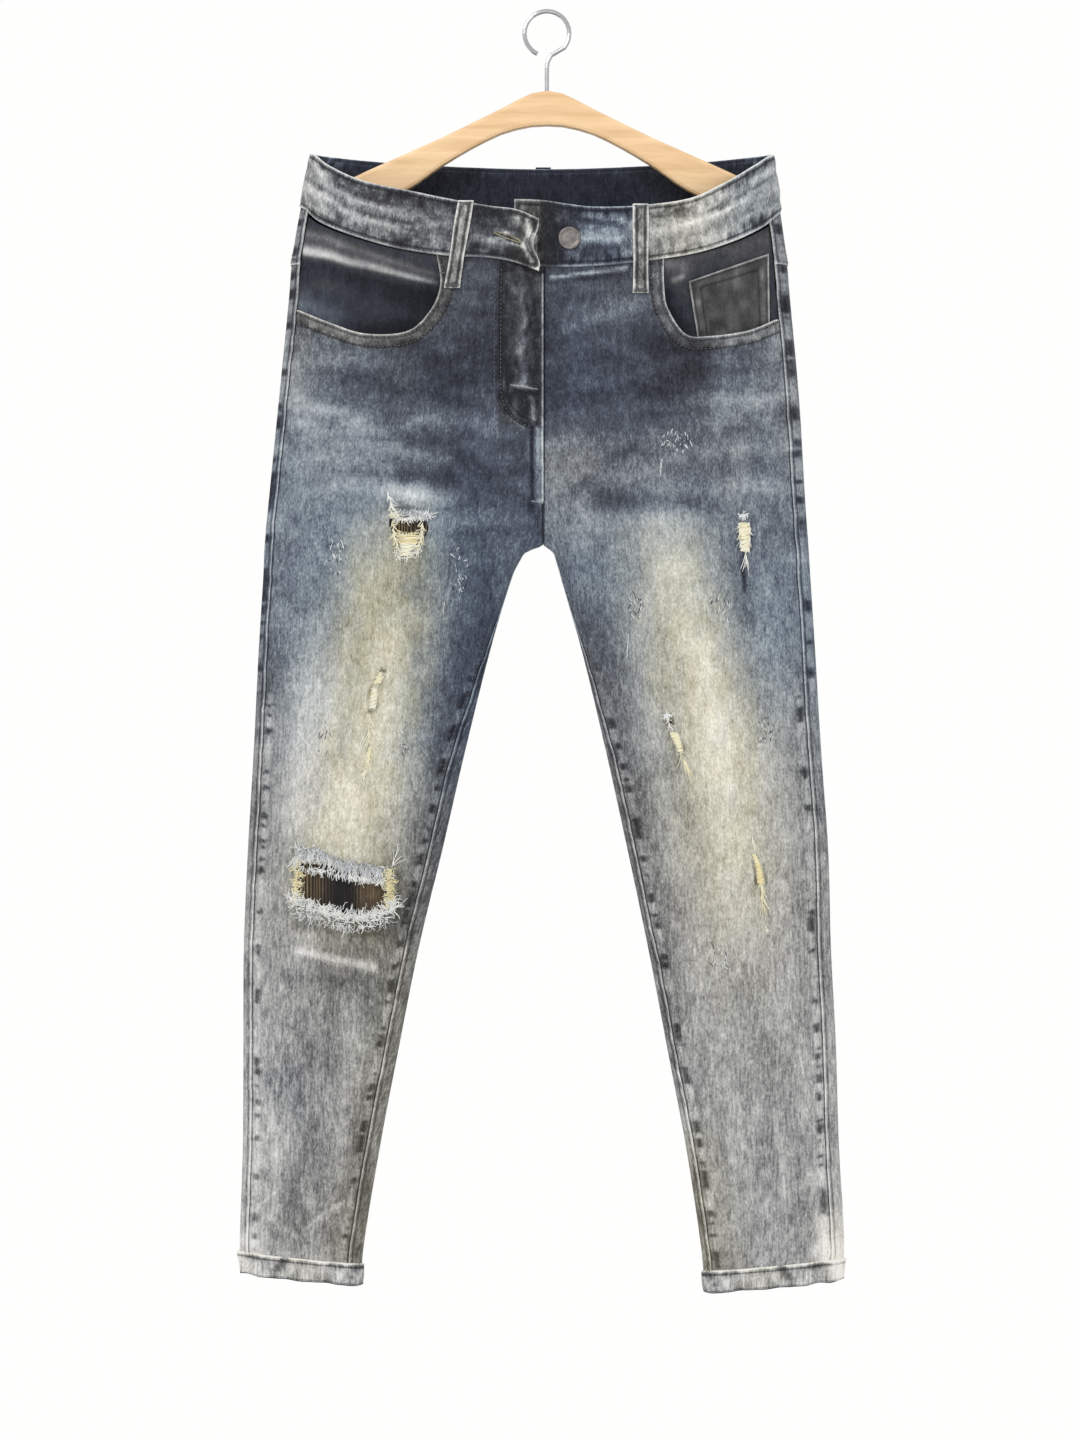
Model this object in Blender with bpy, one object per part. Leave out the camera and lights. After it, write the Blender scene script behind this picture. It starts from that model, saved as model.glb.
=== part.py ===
"""Ripped skinny jeans with an open waist button, hung by the waist on a plain wooden hanger.

Metres, +Z up, the garment's front faces -Y. The origin is the inside top of the hanger's hook.
Right and left are the wearer's, so the right leg lies on the -X side.
"""
import bisect
from math import acos, cos, exp, hypot, pi, radians, sin, sqrt

import bpy
from mathutils import Vector
from mathutils.geometry import delaunay_2d_cdt

# ---------------------------------------------------------------- driving sizes
CLOTH = 0.0012          # one layer of stretch denim
BAND_CLOTH = 0.0024     # waistband and hems, folded double
GAP = 0.0003            # between two pieces that meet at a seam
LOOSE = 0.0008          # between two layers that are not sewn point to point
CENTRE = -0.003         # X of the centre front and back seams
CROTCH = -0.4395        # height of the crotch point
RISE_START = -0.3745    # height where the centre seam begins to curve under
CURL_POWER = 1.5        # how suddenly it meets the crotch point
ARCH = 0.006            # height over which the rounded gap between the legs opens
ARCH_REACH = 6          # how closely that keeps to the inner edge
ANKLE = -1.030          # height of the hems' top edges
HEM_HEIGHT = 0.018
BACK_COLUMNS = 13       # columns of cloth points across a back
FOLD_SHARE = 1 / 13     # share of a back's width that lies round onto the front
LOOP_WIDTH = 0.0125
BUTTON_RADIUS = 0.0093

# One row for each level of one side of the garment. Above the crotch the inner edge is the
# centre seam, and the table's value only shapes the section on its way there.
#    height, outer edge, inner edge, front depth, back depth
RIGHT_SIDE = [
    (-0.1050, -0.1920, CENTRE, 0.0300, 0.0300),
    (-0.1361, -0.1984, CENTRE, 0.0330, 0.0320),
    (-0.1975, -0.2095, CENTRE, 0.0360, 0.0350),
    (-0.2386, -0.2132, CENTRE, 0.0360, 0.0370),
    (-0.3206, -0.2214, CENTRE, 0.0340, 0.0390),
    (-0.4026, -0.2296, -0.0100, 0.0290, 0.0350),
    (-0.4395, -0.2330, -0.0170, 0.0260, 0.0310),
    (-0.4636, -0.2340, -0.0287, 0.0250, 0.0290),
    (-0.5256, -0.2378, -0.0467, 0.0230, 0.0250),
    (-0.6076, -0.2419, -0.0672, 0.0200, 0.0220),
    (-0.6896, -0.2468, -0.0861, 0.0180, 0.0190),
    (-0.7716, -0.2501, -0.1058, 0.0165, 0.0175),
    (-0.8536, -0.2505, -0.1222, 0.0150, 0.0165),
    (-0.9356, -0.2510, -0.1378, 0.0140, 0.0150),
    (-1.0176, -0.2535, -0.1512, 0.0130, 0.0135),
    (-1.0450, -0.2530, -0.1533, 0.0130, 0.0130),
]
LEFT_SIDE = [
    (-0.1050, 0.1850, CENTRE, 0.0300, 0.0300),
    (-0.1361, 0.1886, CENTRE, 0.0330, 0.0320),
    (-0.1975, 0.1972, CENTRE, 0.0360, 0.0350),
    (-0.2386, 0.2009, CENTRE, 0.0360, 0.0370),
    (-0.3206, 0.2083, CENTRE, 0.0340, 0.0390),
    (-0.4026, 0.2132, 0.0010, 0.0290, 0.0350),
    (-0.4395, 0.2158, 0.0050, 0.0260, 0.0310),
    (-0.4636, 0.2173, 0.0115, 0.0250, 0.0290),
    (-0.5256, 0.2214, 0.0287, 0.0230, 0.0250),
    (-0.6076, 0.2263, 0.0484, 0.0205, 0.0220),
    (-0.6896, 0.2321, 0.0664, 0.0185, 0.0190),
    (-0.7716, 0.2345, 0.0836, 0.0165, 0.0175),
    (-0.8536, 0.2386, 0.0992, 0.0155, 0.0165),
    (-0.9356, 0.2411, 0.1148, 0.0145, 0.0150),
    (-1.0176, 0.2452, 0.1271, 0.0135, 0.0135),
    (-1.0530, 0.2420, 0.1305, 0.0130, 0.0130),
]
SIDES = {"right": RIGHT_SIDE, "left": LEFT_SIDE}
INWARD = {"right": 1.0, "left": -1.0}            # X direction from the outer to the inner edge
OUTSEAM_INSET = {"right": 0.0075, "left": 0.0110}  # side seam, onto the front from the fold
INSEAM_INSET = {"right": 0.0110, "left": 0.0065}   # inner seam, the same, at the knee
INSEAM_TURN = (-0.470, -0.640)                   # heights where that inset starts and is full
HEM_BOTTOM = {"right": (-1.0385, -1.0490), "left": (-1.0445, -1.0550)}  # outer side, inner side

# The waistband's edges, by angle round the waist: -90 centre front, 0 left side, 90 back.
#    angle, top edge, bottom edge, stand-off
WAIST = [
    (-97, -0.1570, -0.2115, -0.0034),
    (-90, -0.1580, -0.2130, -0.0034),
    (-84, -0.1615, -0.2132, -0.0010),
    (-78, -0.1638, -0.2125, 0.0000),
    (-67, -0.1626, -0.2088, 0.0000),
    (-52, -0.1560, -0.2015, 0.0000),
    (-40, -0.1430, -0.1920, 0.0000),
    (-25, -0.1275, -0.1790, 0.0000),
    (-10, -0.1180, -0.1675, 0.0000),
    (20, -0.1165, -0.1620, 0.0000),
    (60, -0.1215, -0.1665, 0.0000),
    (90, -0.1240, -0.1690, 0.0000),
    (120, -0.1215, -0.1665, 0.0000),
    (160, -0.1165, -0.1610, 0.0000),
    (190, -0.1170, -0.1620, 0.0000),
    (205, -0.1275, -0.1740, 0.0000),
    (222, -0.1415, -0.1875, 0.0000),
    (235, -0.1490, -0.1975, 0.0000),
    (248, -0.1575, -0.2040, 0.0000),
    (258, -0.1635, -0.2060, 0.0006),
    (264, -0.1668, -0.2105, 0.0040),
    (269, -0.1750, -0.2180, 0.0085),
]

BAND_STEP = 6.0         # degrees between the waistband's points

# Edge of each front pocket, from the waistband down and out to the side seam: X, height
MOUTH = {
    "right": [(-0.0900, -0.2040), (-0.0870, -0.2271), (-0.0950, -0.2480), (-0.1140, -0.2652),
              (-0.1480, -0.2668), (-0.1760, -0.2580), (-0.2040, -0.2460)],
    "left": [(0.0955, -0.2080), (0.0955, -0.2271), (0.0985, -0.2460), (0.1130, -0.2672),
             (0.1320, -0.2690), (0.1640, -0.2640), (0.1880, -0.2540)],
}
FACING_LAP = 0.016      # how far a facing reaches behind the pocket's edge
GAPE = {"right": 0.0130, "left": 0.0100}  # how far the pocket hangs open

COIN_POCKET = [(0.1160, -0.2240), (0.1815, -0.2000), (0.1845, -0.2500), (0.1790, -0.2660),
               (0.1240, -0.2700)]
KNEE_HOLE = [(-0.2035, -0.7025), (-0.1690, -0.7040), (-0.1310, -0.7080), (-0.1320, -0.7360),
             (-0.1650, -0.7430), (-0.2020, -0.7330)]
THIGH_HOLE = [(-0.1275, -0.4180), (-0.0995, -0.4195), (-0.1005, -0.4350), (-0.1130, -0.4450),
              (-0.1245, -0.4340)]
KNEE_BACKING = [(-0.2180, -0.6850), (-0.1170, -0.6870), (-0.1190, -0.7600), (-0.2170, -0.7570)]
THIGH_BACKING = [(-0.1440, -0.4020), (-0.0830, -0.4040), (-0.0840, -0.4560), (-0.1420, -0.4560)]

# Broad folds. A ridge has a positive height and a trough a negative one.
#    face, X and height of one end, X and height of the other, half-width, height
FOLDS = [
    ("front", -0.190, -0.300, -0.060, -0.405, 0.024, -0.0030),
    ("front", 0.180, -0.310, 0.050, -0.405, 0.024, -0.0030),
    ("front", -0.155, -0.480, -0.172, -0.640, 0.028, -0.0025),
    ("front", 0.120, -0.500, 0.140, -0.650, 0.028, -0.0025),
    ("front", -0.225, -0.775, -0.125, -0.790, 0.022, -0.0022),
    ("front", 0.110, -0.735, 0.215, -0.760, 0.022, 0.0020),
    ("back", -0.180, -0.430, -0.040, -0.405, 0.026, -0.0040),
    ("back", 0.160, -0.430, 0.035, -0.405, 0.026, -0.0040),
    ("back", -0.240, -0.690, -0.110, -0.705, 0.020, -0.0030),
    ("back", 0.220, -0.695, 0.090, -0.710, 0.020, -0.0030),
]

# Hanger board, half of its outline: distance from the middle, top edge, bottom edge
BOARD = [
    (0.000, -0.0640, -0.0930),
    (0.012, -0.0660, -0.0935),
    (0.040, -0.0800, -0.1010),
    (0.085, -0.1020, -0.1255),
    (0.115, -0.1155, -0.1465),
    (0.155, -0.1335, -0.1640),
    (0.180, -0.1460, -0.1705),
    (0.188, -0.1530, -0.1690),
]
BOARD_THICK = 0.0110
HOOK_WIRE = 0.0019      # radius of the hook's wire
HOOK_BEND = 0.0185      # radius of its round, to the middle of the wire
HOOK_START = -65.0      # degrees, where its open end begins

COLOURS = {
    "denim": (0.21, 0.23, 0.26),
    "denim_dark": (0.06, 0.065, 0.08),
    "backing": (0.05, 0.04, 0.03),
    "metal": (0.20, 0.17, 0.16),
    "wood": (0.90, 0.60, 0.33),
    "steel": (0.60, 0.60, 0.62),
}


# ---------------------------------------------------------------- materials
def finish(name, roughness=0.85, metallic=0.0):
    """A Principled material in one of the named colours."""
    material = bpy.data.materials.get(name)
    if material:
        return material
    material = bpy.data.materials.new(name)
    material.use_nodes = True
    shader = material.node_tree.nodes["Principled BSDF"]
    shader.inputs["Base Color"].default_value = (*COLOURS[name], 1.0)
    shader.inputs["Roughness"].default_value = roughness
    shader.inputs["Metallic"].default_value = metallic
    return material


# ---------------------------------------------------------------- the garment's form
def smooth_read(rows, at, column):
    """Value of a table's column at a place in its first column, on a smooth curve."""
    keys = [row[0] for row in rows]
    if keys[0] > keys[-1]:
        keys = [-key for key in keys]
        at = -at
    at = min(max(at, keys[0]), keys[-1])
    low = min(max(bisect.bisect_right(keys, at) - 1, 0), len(rows) - 2)
    values = [row[column] for row in rows]

    def slope(i):
        before = max(i - 1, 0)
        after = min(i + 1, len(rows) - 1)
        return (values[after] - values[before]) / (keys[after] - keys[before])

    span = keys[low + 1] - keys[low]
    t = (at - keys[low]) / span
    start = slope(low) * span
    end = slope(low + 1) * span
    change = values[low + 1] - values[low]
    return values[low] + start * t + (3 * change - 2 * start - end) * t**2 + (start + end - 2 * change) * t**3


def ease(value, start, end):
    """0 before start, 1 after end, smooth between."""
    t = min(max((value - start) / (end - start), 0.0), 1.0)
    return t * t * (3 - 2 * t)


def ring(side, z):
    """Outer edge, inner edge, front depth, back depth and curl of one side at a height.

    The curl is 0 where the section is half a torso and 1 where it is a whole leg.
    """
    rows = SIDES[side]
    inner = CENTRE
    if z < CROTCH:
        inner += (smooth_read(rows, z, 2) - CENTRE) * sqrt(min(1.0, (CROTCH - z) / ARCH))
    fall = min(max((RISE_START - z) / (RISE_START - CROTCH), 0.0), 1.0)
    curl = 1 - (1 - fall**2) ** CURL_POWER
    return smooth_read(rows, z, 1), inner, smooth_read(rows, z, 3), smooth_read(rows, z, 4), curl


def x_at(side, angle, z):
    """X place of an angle on the section. Only cloth near the inner edge follows the arch."""
    outer, inner, _, _, curl = ring(side, z)
    calm = smooth_read(SIDES[side], z, 2)
    share = (1 - cos(angle)) / (1 + curl)
    return outer + (calm - outer) * share + (inner - calm) * share**ARCH_REACH


def angle_at(side, x, z):
    """Angle, on the front or the back alike, of an X place at a height."""
    outer, inner, _, _, curl = ring(side, z)
    calm = smooth_read(SIDES[side], z, 2)
    low, high = 0.0, 2 / (1 + curl)
    for _ in range(40):
        share = (low + high) / 2
        reach = abs((calm - outer) * share + (inner - calm) * share**ARCH_REACH)
        if reach < abs(x - outer):
            low = share
        else:
            high = share
    return acos(min(max(1 - (1 + curl) * low, -1.0), 1.0))


def fold_height(face, x, z):
    """Sum of the broad folds at a place on the front or back face."""
    total = 0.0
    for where, x0, z0, x1, z1, width, height in FOLDS:
        if where != face:
            continue
        along = ((x - x0) * (x1 - x0) + (z - z0) * (z1 - z0)) / ((x1 - x0) ** 2 + (z1 - z0) ** 2)
        held = min(max(along, 0.0), 1.0)
        far = hypot(x - x0 - held * (x1 - x0), z - z0 - held * (z1 - z0))
        total += height * exp(-((far / width) ** 2))
    return total


def skin(side, angle, z):
    """Point on the cloth's outer face. Angle 0 is the outer fold, below 0 is the front."""
    _, _, front, back, _ = ring(side, z)
    x = x_at(side, angle, z)
    if angle < 0 or angle > pi:
        swell = abs(sin(angle))
        return Vector((x, -(front + fold_height("front", x, z)) * swell, z))
    return Vector((x, (back + fold_height("back", x, z)) * sin(angle), z))


def skin_spot(side, angle, z):
    """Point on the outer face and the direction that faces out of the garment there."""
    step = 0.002
    drop = 0.0005
    spot = skin(side, angle, z)
    across = skin(side, angle + step, z) - skin(side, angle - step, z)
    down = skin(side, angle, z - drop) - skin(side, angle, z + drop)
    out = across.cross(down).normalized()
    outer, inner = ring(side, z)[:2]
    away = Vector((spot.x - (outer + inner) / 2, 4 * spot.y, 0))
    return spot, out if out.dot(away) > 0 else -out


def half_gap(side, angle, z):
    """Half of the seam gap as an angle at a place on the section."""
    outer, inner, front, _, curl = ring(side, z)
    width = abs(inner - outer) / (1 + curl)
    return 0.5 * GAP / hypot(width * sin(angle), front * cos(angle))


def outseam_angle(side, z):
    """How far the side seam lies round onto the front."""
    outer = ring(side, z)[0]
    return angle_at(side, outer + INWARD[side] * OUTSEAM_INSET[side], z)


def inner_seam_angle(side, z):
    """Angle from the outer fold to the centre seam, or to the leg's inner seam on its front."""
    _, inner, _, _, curl = ring(side, z)
    if z >= CROTCH:
        return acos(-curl)
    inset = INSEAM_INSET[side] * ease(z, *INSEAM_TURN)
    return angle_at(side, inner - INWARD[side] * inset, z)


def front_place(x, z):
    """Spot on the front face of either side."""
    side = "right" if x < CENTRE or (z < CROTCH and x < 0) else "left"
    return skin_spot(side, -angle_at(side, x, z), z)


def back_place(x, z):
    side = "right" if x < CENTRE or (z < CROTCH and x < 0) else "left"
    return skin_spot(side, angle_at(side, x, z), z)


# ---------------------------------------------------------------- cutting and sewing
def curve_through(points, steps=4):
    """Smooth curve through a few points."""
    ends = [points[0], *points, points[-1]]
    found = []
    for before, start, end, after in zip(ends, ends[1:], ends[2:], ends[3:]):
        for step in range(steps):
            t = step / steps
            found.append(tuple(
                s + 0.5 * t * ((e - b) + t * ((2 * b - 5 * s + 4 * e - a) + t * (3 * (s - e) + a - b)))
                for b, s, e, a in zip(before, start, end, after)))
    return found + [points[-1]]


def rounded(corners, steps=3):
    """Closed smooth outline through its corners."""
    loop = [corners[-1], *corners, corners[0], corners[1]]
    return curve_through(loop, steps)[steps:-steps - 1]


def holds(outline, u, v):
    """True inside an outline."""
    odd = False
    for (u0, v0), (u1, v1) in zip(outline, outline[1:] + outline[:1]):
        if (v0 > v) != (v1 > v) and u < u0 + (v - v0) * (u1 - u0) / (v1 - v0):
            odd = not odd
    return odd


def edge_distance(loop, u, v):
    nearest = 1e9
    for (u0, v0), (u1, v1) in zip(loop, loop[1:] + loop[:1]):
        length = (u1 - u0) ** 2 + (v1 - v0) ** 2
        t = min(max(((u - u0) * (u1 - u0) + (v - v0) * (v1 - v0)) / max(length, 1e-18), 0.0), 1.0)
        nearest = min(nearest, hypot(u - u0 - t * (u1 - u0), v - v0 - t * (v1 - v0)))
    return nearest


def turn_diagonals(triangles, spots, placed, fixed):
    """The triangles with a shared edge turned where the other diagonal is far shorter in space.

    Edges between two of the first fixed points belong to outlines and stay as they are.
    """
    far_shorter = 0.6

    def turns_left(i, j, k):
        (a0, b0), (a1, b1), (a2, b2) = spots[i], spots[j], spots[k]
        return (a1 - a0) * (b2 - b0) - (a2 - a0) * (b1 - b0) > 1e-4

    triangles = list(triangles)
    owner = {}
    for number, (i, j, k) in enumerate(triangles):
        for edge in ((i, j), (j, k), (k, i)):
            owner[edge] = number
    for a, b in list(owner):
        if (a, b) not in owner or (b, a) not in owner or (a < fixed and b < fixed):
            continue
        one, other = owner[a, b], owner[b, a]
        c = sum(triangles[one]) - a - b
        d = sum(triangles[other]) - a - b
        if (placed[c] - placed[d]).length > far_shorter * (placed[a] - placed[b]).length:
            continue
        if not (turns_left(a, d, c) and turns_left(d, b, c)):
            continue
        triangles[one], triangles[other] = (a, d, c), (d, b, c)
        del owner[a, b], owner[b, a]
        owner.update({(a, d): one, (d, c): one, (c, a): one,
                      (d, b): other, (b, c): other, (c, d): other})
    return triangles


def cut(outline, pitch, levels, holes=(), marks=(), stagger=0.5, place=None):
    """Flat pattern cut from cloth: its points and triangles.

    Pitch is the spacing across and levels are the heights of its rows, so both count as one
    step of the grid. Marks are outlines of pieces that will lie on this one. Stagger shifts
    every second row's points. Place lets cells that are long in space be cut the shorter way.
    """
    levels = sorted(levels)

    def to_grid(u, v):
        low = min(max(bisect.bisect_right(levels, v) - 1, 0), len(levels) - 2)
        return u / pitch, low + (v - levels[low]) / (levels[low + 1] - levels[low])

    def from_grid(a, b):
        low = min(max(int(b // 1), 0), len(levels) - 2)
        return a * pitch, levels[low] + (b - low) * (levels[low + 1] - levels[low])

    loops = []
    for loop in (outline, *holes, *marks):
        corners = [to_grid(u, v) for u, v in loop]
        fine = []
        for (a0, b0), (a1, b1) in zip(corners, corners[1:] + corners[:1]):
            parts = max(1, int(hypot(a1 - a0, b1 - b0) + 0.35))
            fine += [(a0 + (a1 - a0) * i / parts, b0 + (b1 - b0) * i / parts) for i in range(parts)]
        loops.append(fine)
    border = loops[0]
    gone = loops[1:1 + len(holes)]
    points = [point for loop in loops for point in loop]
    edges = []
    first = 0
    for loop in loops:
        edges += [(first + i, first + (i + 1) % len(loop)) for i in range(len(loop))]
        first += len(loop)
    low_a, high_a = min(p[0] for p in border), max(p[0] for p in border)
    clearance = 0.45
    for row in range(1, len(levels) - 1):
        shift = stagger * (row % 2)
        for column in range(int(low_a) - 1, int(high_a) + 2):
            a = column + shift
            if not holds(border, a, row) or any(holds(hole, a, row) for hole in gone):
                continue
            if all(edge_distance(loop, a, row) > clearance for loop in loops):
                points.append((a, row))
    flat = delaunay_2d_cdt([Vector(p) for p in points], edges, [], 0, 1e-7)
    spots = [(p.x, p.y) for p in flat[0]]
    kept = []
    least = 1e-4
    for face in flat[2]:
        (a0, b0), (a1, b1), (a2, b2) = (spots[i] for i in face)
        if abs((a1 - a0) * (b2 - b0) - (a2 - a0) * (b1 - b0)) < least:
            continue
        a = (a0 + a1 + a2) / 3
        b = (b0 + b1 + b2) / 3
        if holds(border, a, b) and not any(holds(hole, a, b) for hole in gone):
            kept.append(tuple(face))
    pattern = [from_grid(a, b) for a, b in spots]
    if place:
        kept = turn_diagonals(kept, spots, [place(u, v)[0] for u, v in pattern], first)
    return pattern, kept


def sew(name, pattern, place, colour, cloth=CLOTH, rise=0.0, inside=None):
    """Closed cloth wall: the pattern's points placed in space, and the same moved inwards.

    Rise moves it out from the placed face. Inside keeps only the triangles in a marked outline.
    """
    points, triangles = pattern
    if inside:
        triangles = [t for t in triangles
                     if holds(inside, sum(points[i][0] for i in t) / 3, sum(points[i][1] for i in t) / 3)]
    used = sorted({i for t in triangles for i in t})
    slot = {old: new for new, old in enumerate(used)}
    triangles = [tuple(slot[i] for i in t) for t in triangles]
    spots = [place(*points[i]) for i in used]
    outer = [spot + out * rise for spot, out in spots]
    inner = [spot + out * (rise - cloth) for spot, out in spots]
    facing = 0.0
    for a, b, c in triangles:
        facing += (outer[b] - outer[a]).cross(outer[c] - outer[a]).dot(spots[a][1])
    if facing < 0:
        triangles = [(a, c, b) for a, b, c in triangles]
    count = len(used)
    sides = {}
    for a, b, c in triangles:
        for edge in ((a, b), (b, c), (c, a)):
            sides[edge] = True
    rim = [edge for edge in sides if (edge[1], edge[0]) not in sides]
    faces = list(triangles)
    faces += [(a + count, c + count, b + count) for a, b, c in triangles]
    for a, b in rim:
        if (outer[a] - inner[b]).length < (outer[b] - inner[a]).length:
            faces += [(a, a + count, b + count), (a, b + count, b)]
        else:
            faces += [(a, a + count, b), (b, a + count, b + count)]
    return solid(name, outer + inner, faces, finish(colour), smooth=radians(50))


def solid(name, points, faces, material, smooth=radians(30)):
    mesh = bpy.data.meshes.new(name)
    mesh.from_pydata([tuple(p) for p in points], [], faces)
    mesh.materials.append(material)
    mesh.shade_smooth()
    mesh.set_sharp_from_angle(angle=smooth)
    made = bpy.data.objects.new(name, mesh)
    bpy.context.scene.collection.objects.link(made)
    return made


def row_heights(top, bottom, step):
    """Heights from bottom to top about a step apart."""
    count = max(2, round((top - bottom) / step))
    return [bottom + (top - bottom) * i / count for i in range(count + 1)]


def seam_heights(top, bottom):
    """Both ends, and between them the heights at which every seam of the body has a point.

    They are an even step apart, and closer where the centre seam curves under the crotch.
    """
    step = 0.040
    turns = (20, 42, 60, 76)
    heights = [RISE_START + step * i for i in range(7)]
    heights += [RISE_START - (RISE_START - CROTCH) * sin(radians(turn)) for turn in turns]
    heights += [CROTCH, CROTCH - 0.0015, CROTCH - ARCH, CROTCH - 0.018]
    heights += [CROTCH - step * i for i in range(1, 16)]
    clear = 0.004
    inner = [z for z in heights if bottom + clear < z < top - clear]
    return sorted([bottom, top] + inner)


# ---------------------------------------------------------------- waistband
def waist_place(angle, height):
    """Spot on the waistband. Height runs from 0 at its bottom edge to 1 at its top."""
    top = smooth_read(WAIST, angle, 1)
    bottom = smooth_read(WAIST, angle, 2)
    z = bottom + (top - bottom) * height
    if angle <= 90:
        spot, out = skin_spot("left", radians(angle), z)
    else:
        spot, out = skin_spot("right", radians(180 - angle), z)
    return spot + out * smooth_read(WAIST, angle, 3), out


def band_turns(first=WAIST[0][0], last=WAIST[-1][0]):
    """Angles of the waistband's points, from one angle round the waist to another."""
    start, end = WAIST[0][0], WAIST[-1][0]
    parts = round((end - start) / BAND_STEP)
    turns = [start + (end - start) * i / parts for i in range(parts + 1)]
    low, high = min(first, last), max(first, last)
    clear = 1.5
    turns = [low] + [turn for turn in turns if low + clear < turn < high - clear] + [high]
    return turns if first < last else turns[::-1]


def waist_seam(side, first, last, drop):
    """Points a little under the waistband, as an angle on the section and a height."""
    points = []
    for turn in band_turns(first, last):
        section = turn if side == "left" else 180 - turn
        points.append((radians(section), smooth_read(WAIST, turn, 2) - drop))
    return points


def waist_angle(x, z):
    """Angle round the waist of a place on the front."""
    if x < CENTRE:
        return 180 + angle_at("right", x, z) * 180 / pi
    return -angle_at("left", x, z) * 180 / pi


def waist_bottom(x):
    """Height of the waistband's bottom edge on the front, at an X place."""
    return smooth_read(WAIST, waist_angle(x, -0.19), 2)


def make_waistband():
    turns = band_turns()
    edge = [(turn, 0.0) for turn in turns] + [(turn, 1.0) for turn in reversed(turns)]
    pattern = cut(edge, BAND_STEP, [0.0, 0.34, 0.67, 1.0])
    sew("waistband", pattern, waist_place, "denim", BAND_CLOTH, BAND_CLOTH / 2)


# ---------------------------------------------------------------- fronts, backs, yokes
def hem_line(side, x, lift=0.0):
    """Height of the hem's bottom edge at an X place on a leg, or of a line above it."""
    low_outer, low_inner = HEM_BOTTOM[side]
    outer, inner = ring(side, ANKLE)[:2]
    share = min(max((x - outer) / (inner - outer), 0.0), 1.0)
    return low_outer + (low_inner - low_outer) * share + lift


def column(side, angle, z):
    """Place across a section in columns of cloth, which crowd where the section turns."""
    wide = 0.020
    turning = 0.40
    return abs(x_at(side, angle, z) - ring(side, z)[0]) / wide + angle / turning


def front_place_for(side):
    """Places a front panel's pattern, whose points are a column and a height."""
    def place(across, z):
        low, high = 0.0, pi
        for _ in range(34):
            middle = (low + high) / 2
            if column(side, middle, z) < across:
                low = middle
            else:
                high = middle
        return skin_spot(side, -low, z)
    return place


def on_front(side, points):
    """Turns X places and heights into points of the front's pattern."""
    return [(column(side, angle_at(side, x, z), z), z) for x, z in points]


def front_outline(side):
    """The front panel's edge: pocket, side seam, leg end, inner seam and centre seam."""
    mouth = curve_through(MOUTH[side], 3)
    seam_top = mouth[-1][1]
    mouth = [(x, z) for x, z in mouth if abs(x - ring(side, z)[0]) > OUTSEAM_INSET[side] + 0.004]
    middle = CENTRE - INWARD[side] * GAP / 2
    centre_turn = waist_angle(middle, -0.21)
    edge = waist_seam(side, centre_turn, waist_angle(*mouth[0]), GAP)
    outline = [(column(side, abs(turn), z), z) for turn, z in edge] + on_front(side, mouth[1:])
    ankle_turn = outseam_angle(side, ANKLE)
    leg_end = hem_line(side, x_at(side, ankle_turn, ANKLE), HEM_HEIGHT + GAP)
    for z in reversed(seam_heights(seam_top, leg_end)):
        turn = outseam_angle(side, z)
        outline.append((column(side, turn + half_gap(side, turn, z), z), z))
    inner_turn = inner_seam_angle(side, ANKLE)
    for share in (0.2, 0.4, 0.6, 0.8):
        turn = ankle_turn + (inner_turn - ankle_turn) * share
        z = hem_line(side, x_at(side, turn, ANKLE), HEM_HEIGHT + GAP)
        outline.append((column(side, turn, z), z))
    leg_end = hem_line(side, x_at(side, inner_turn, ANKLE), HEM_HEIGHT + GAP)
    for z in seam_heights(waist_bottom(CENTRE), leg_end)[:-1]:
        turn = inner_seam_angle(side, z)
        turn -= half_gap(side, turn, z)
        if z >= CROTCH:
            turn = min(turn, angle_at(side, middle, z))
        outline.append((column(side, turn, z), z))
    return outline


def make_front(side):
    outline = front_outline(side)
    heights = [z for _, z in outline]
    holes = []
    if side == "right":
        holes = [on_front(side, rounded(KNEE_HOLE)), on_front(side, rounded(THIGH_HOLE))]
    pattern = cut(outline, 1.0, seam_heights(max(heights), min(heights)), holes)
    sew(f"front_{side}", pattern, front_place_for(side), "denim")


def back_place_for(side):
    """Places a back panel's pattern: across from the side seam (0) to the inner seam (1)."""
    def place(share, z):
        start = outseam_angle(side, z)
        end = inner_seam_angle(side, z)
        start -= half_gap(side, start, z)
        if z < CROTCH:
            end = 2 * pi - end
        end -= half_gap(side, end, z)
        if share < FOLD_SHARE:
            return skin_spot(side, start * (share / FOLD_SHARE - 1), z)
        return skin_spot(side, end * (share - FOLD_SHARE) / (1 - FOLD_SHARE), z)
    return place


def yoke_line(share):
    """Height of the yoke's lower edge, lower at the centre back."""
    return -0.2080 - 0.0400 * ease(share, 0.05, 1.0)


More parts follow.
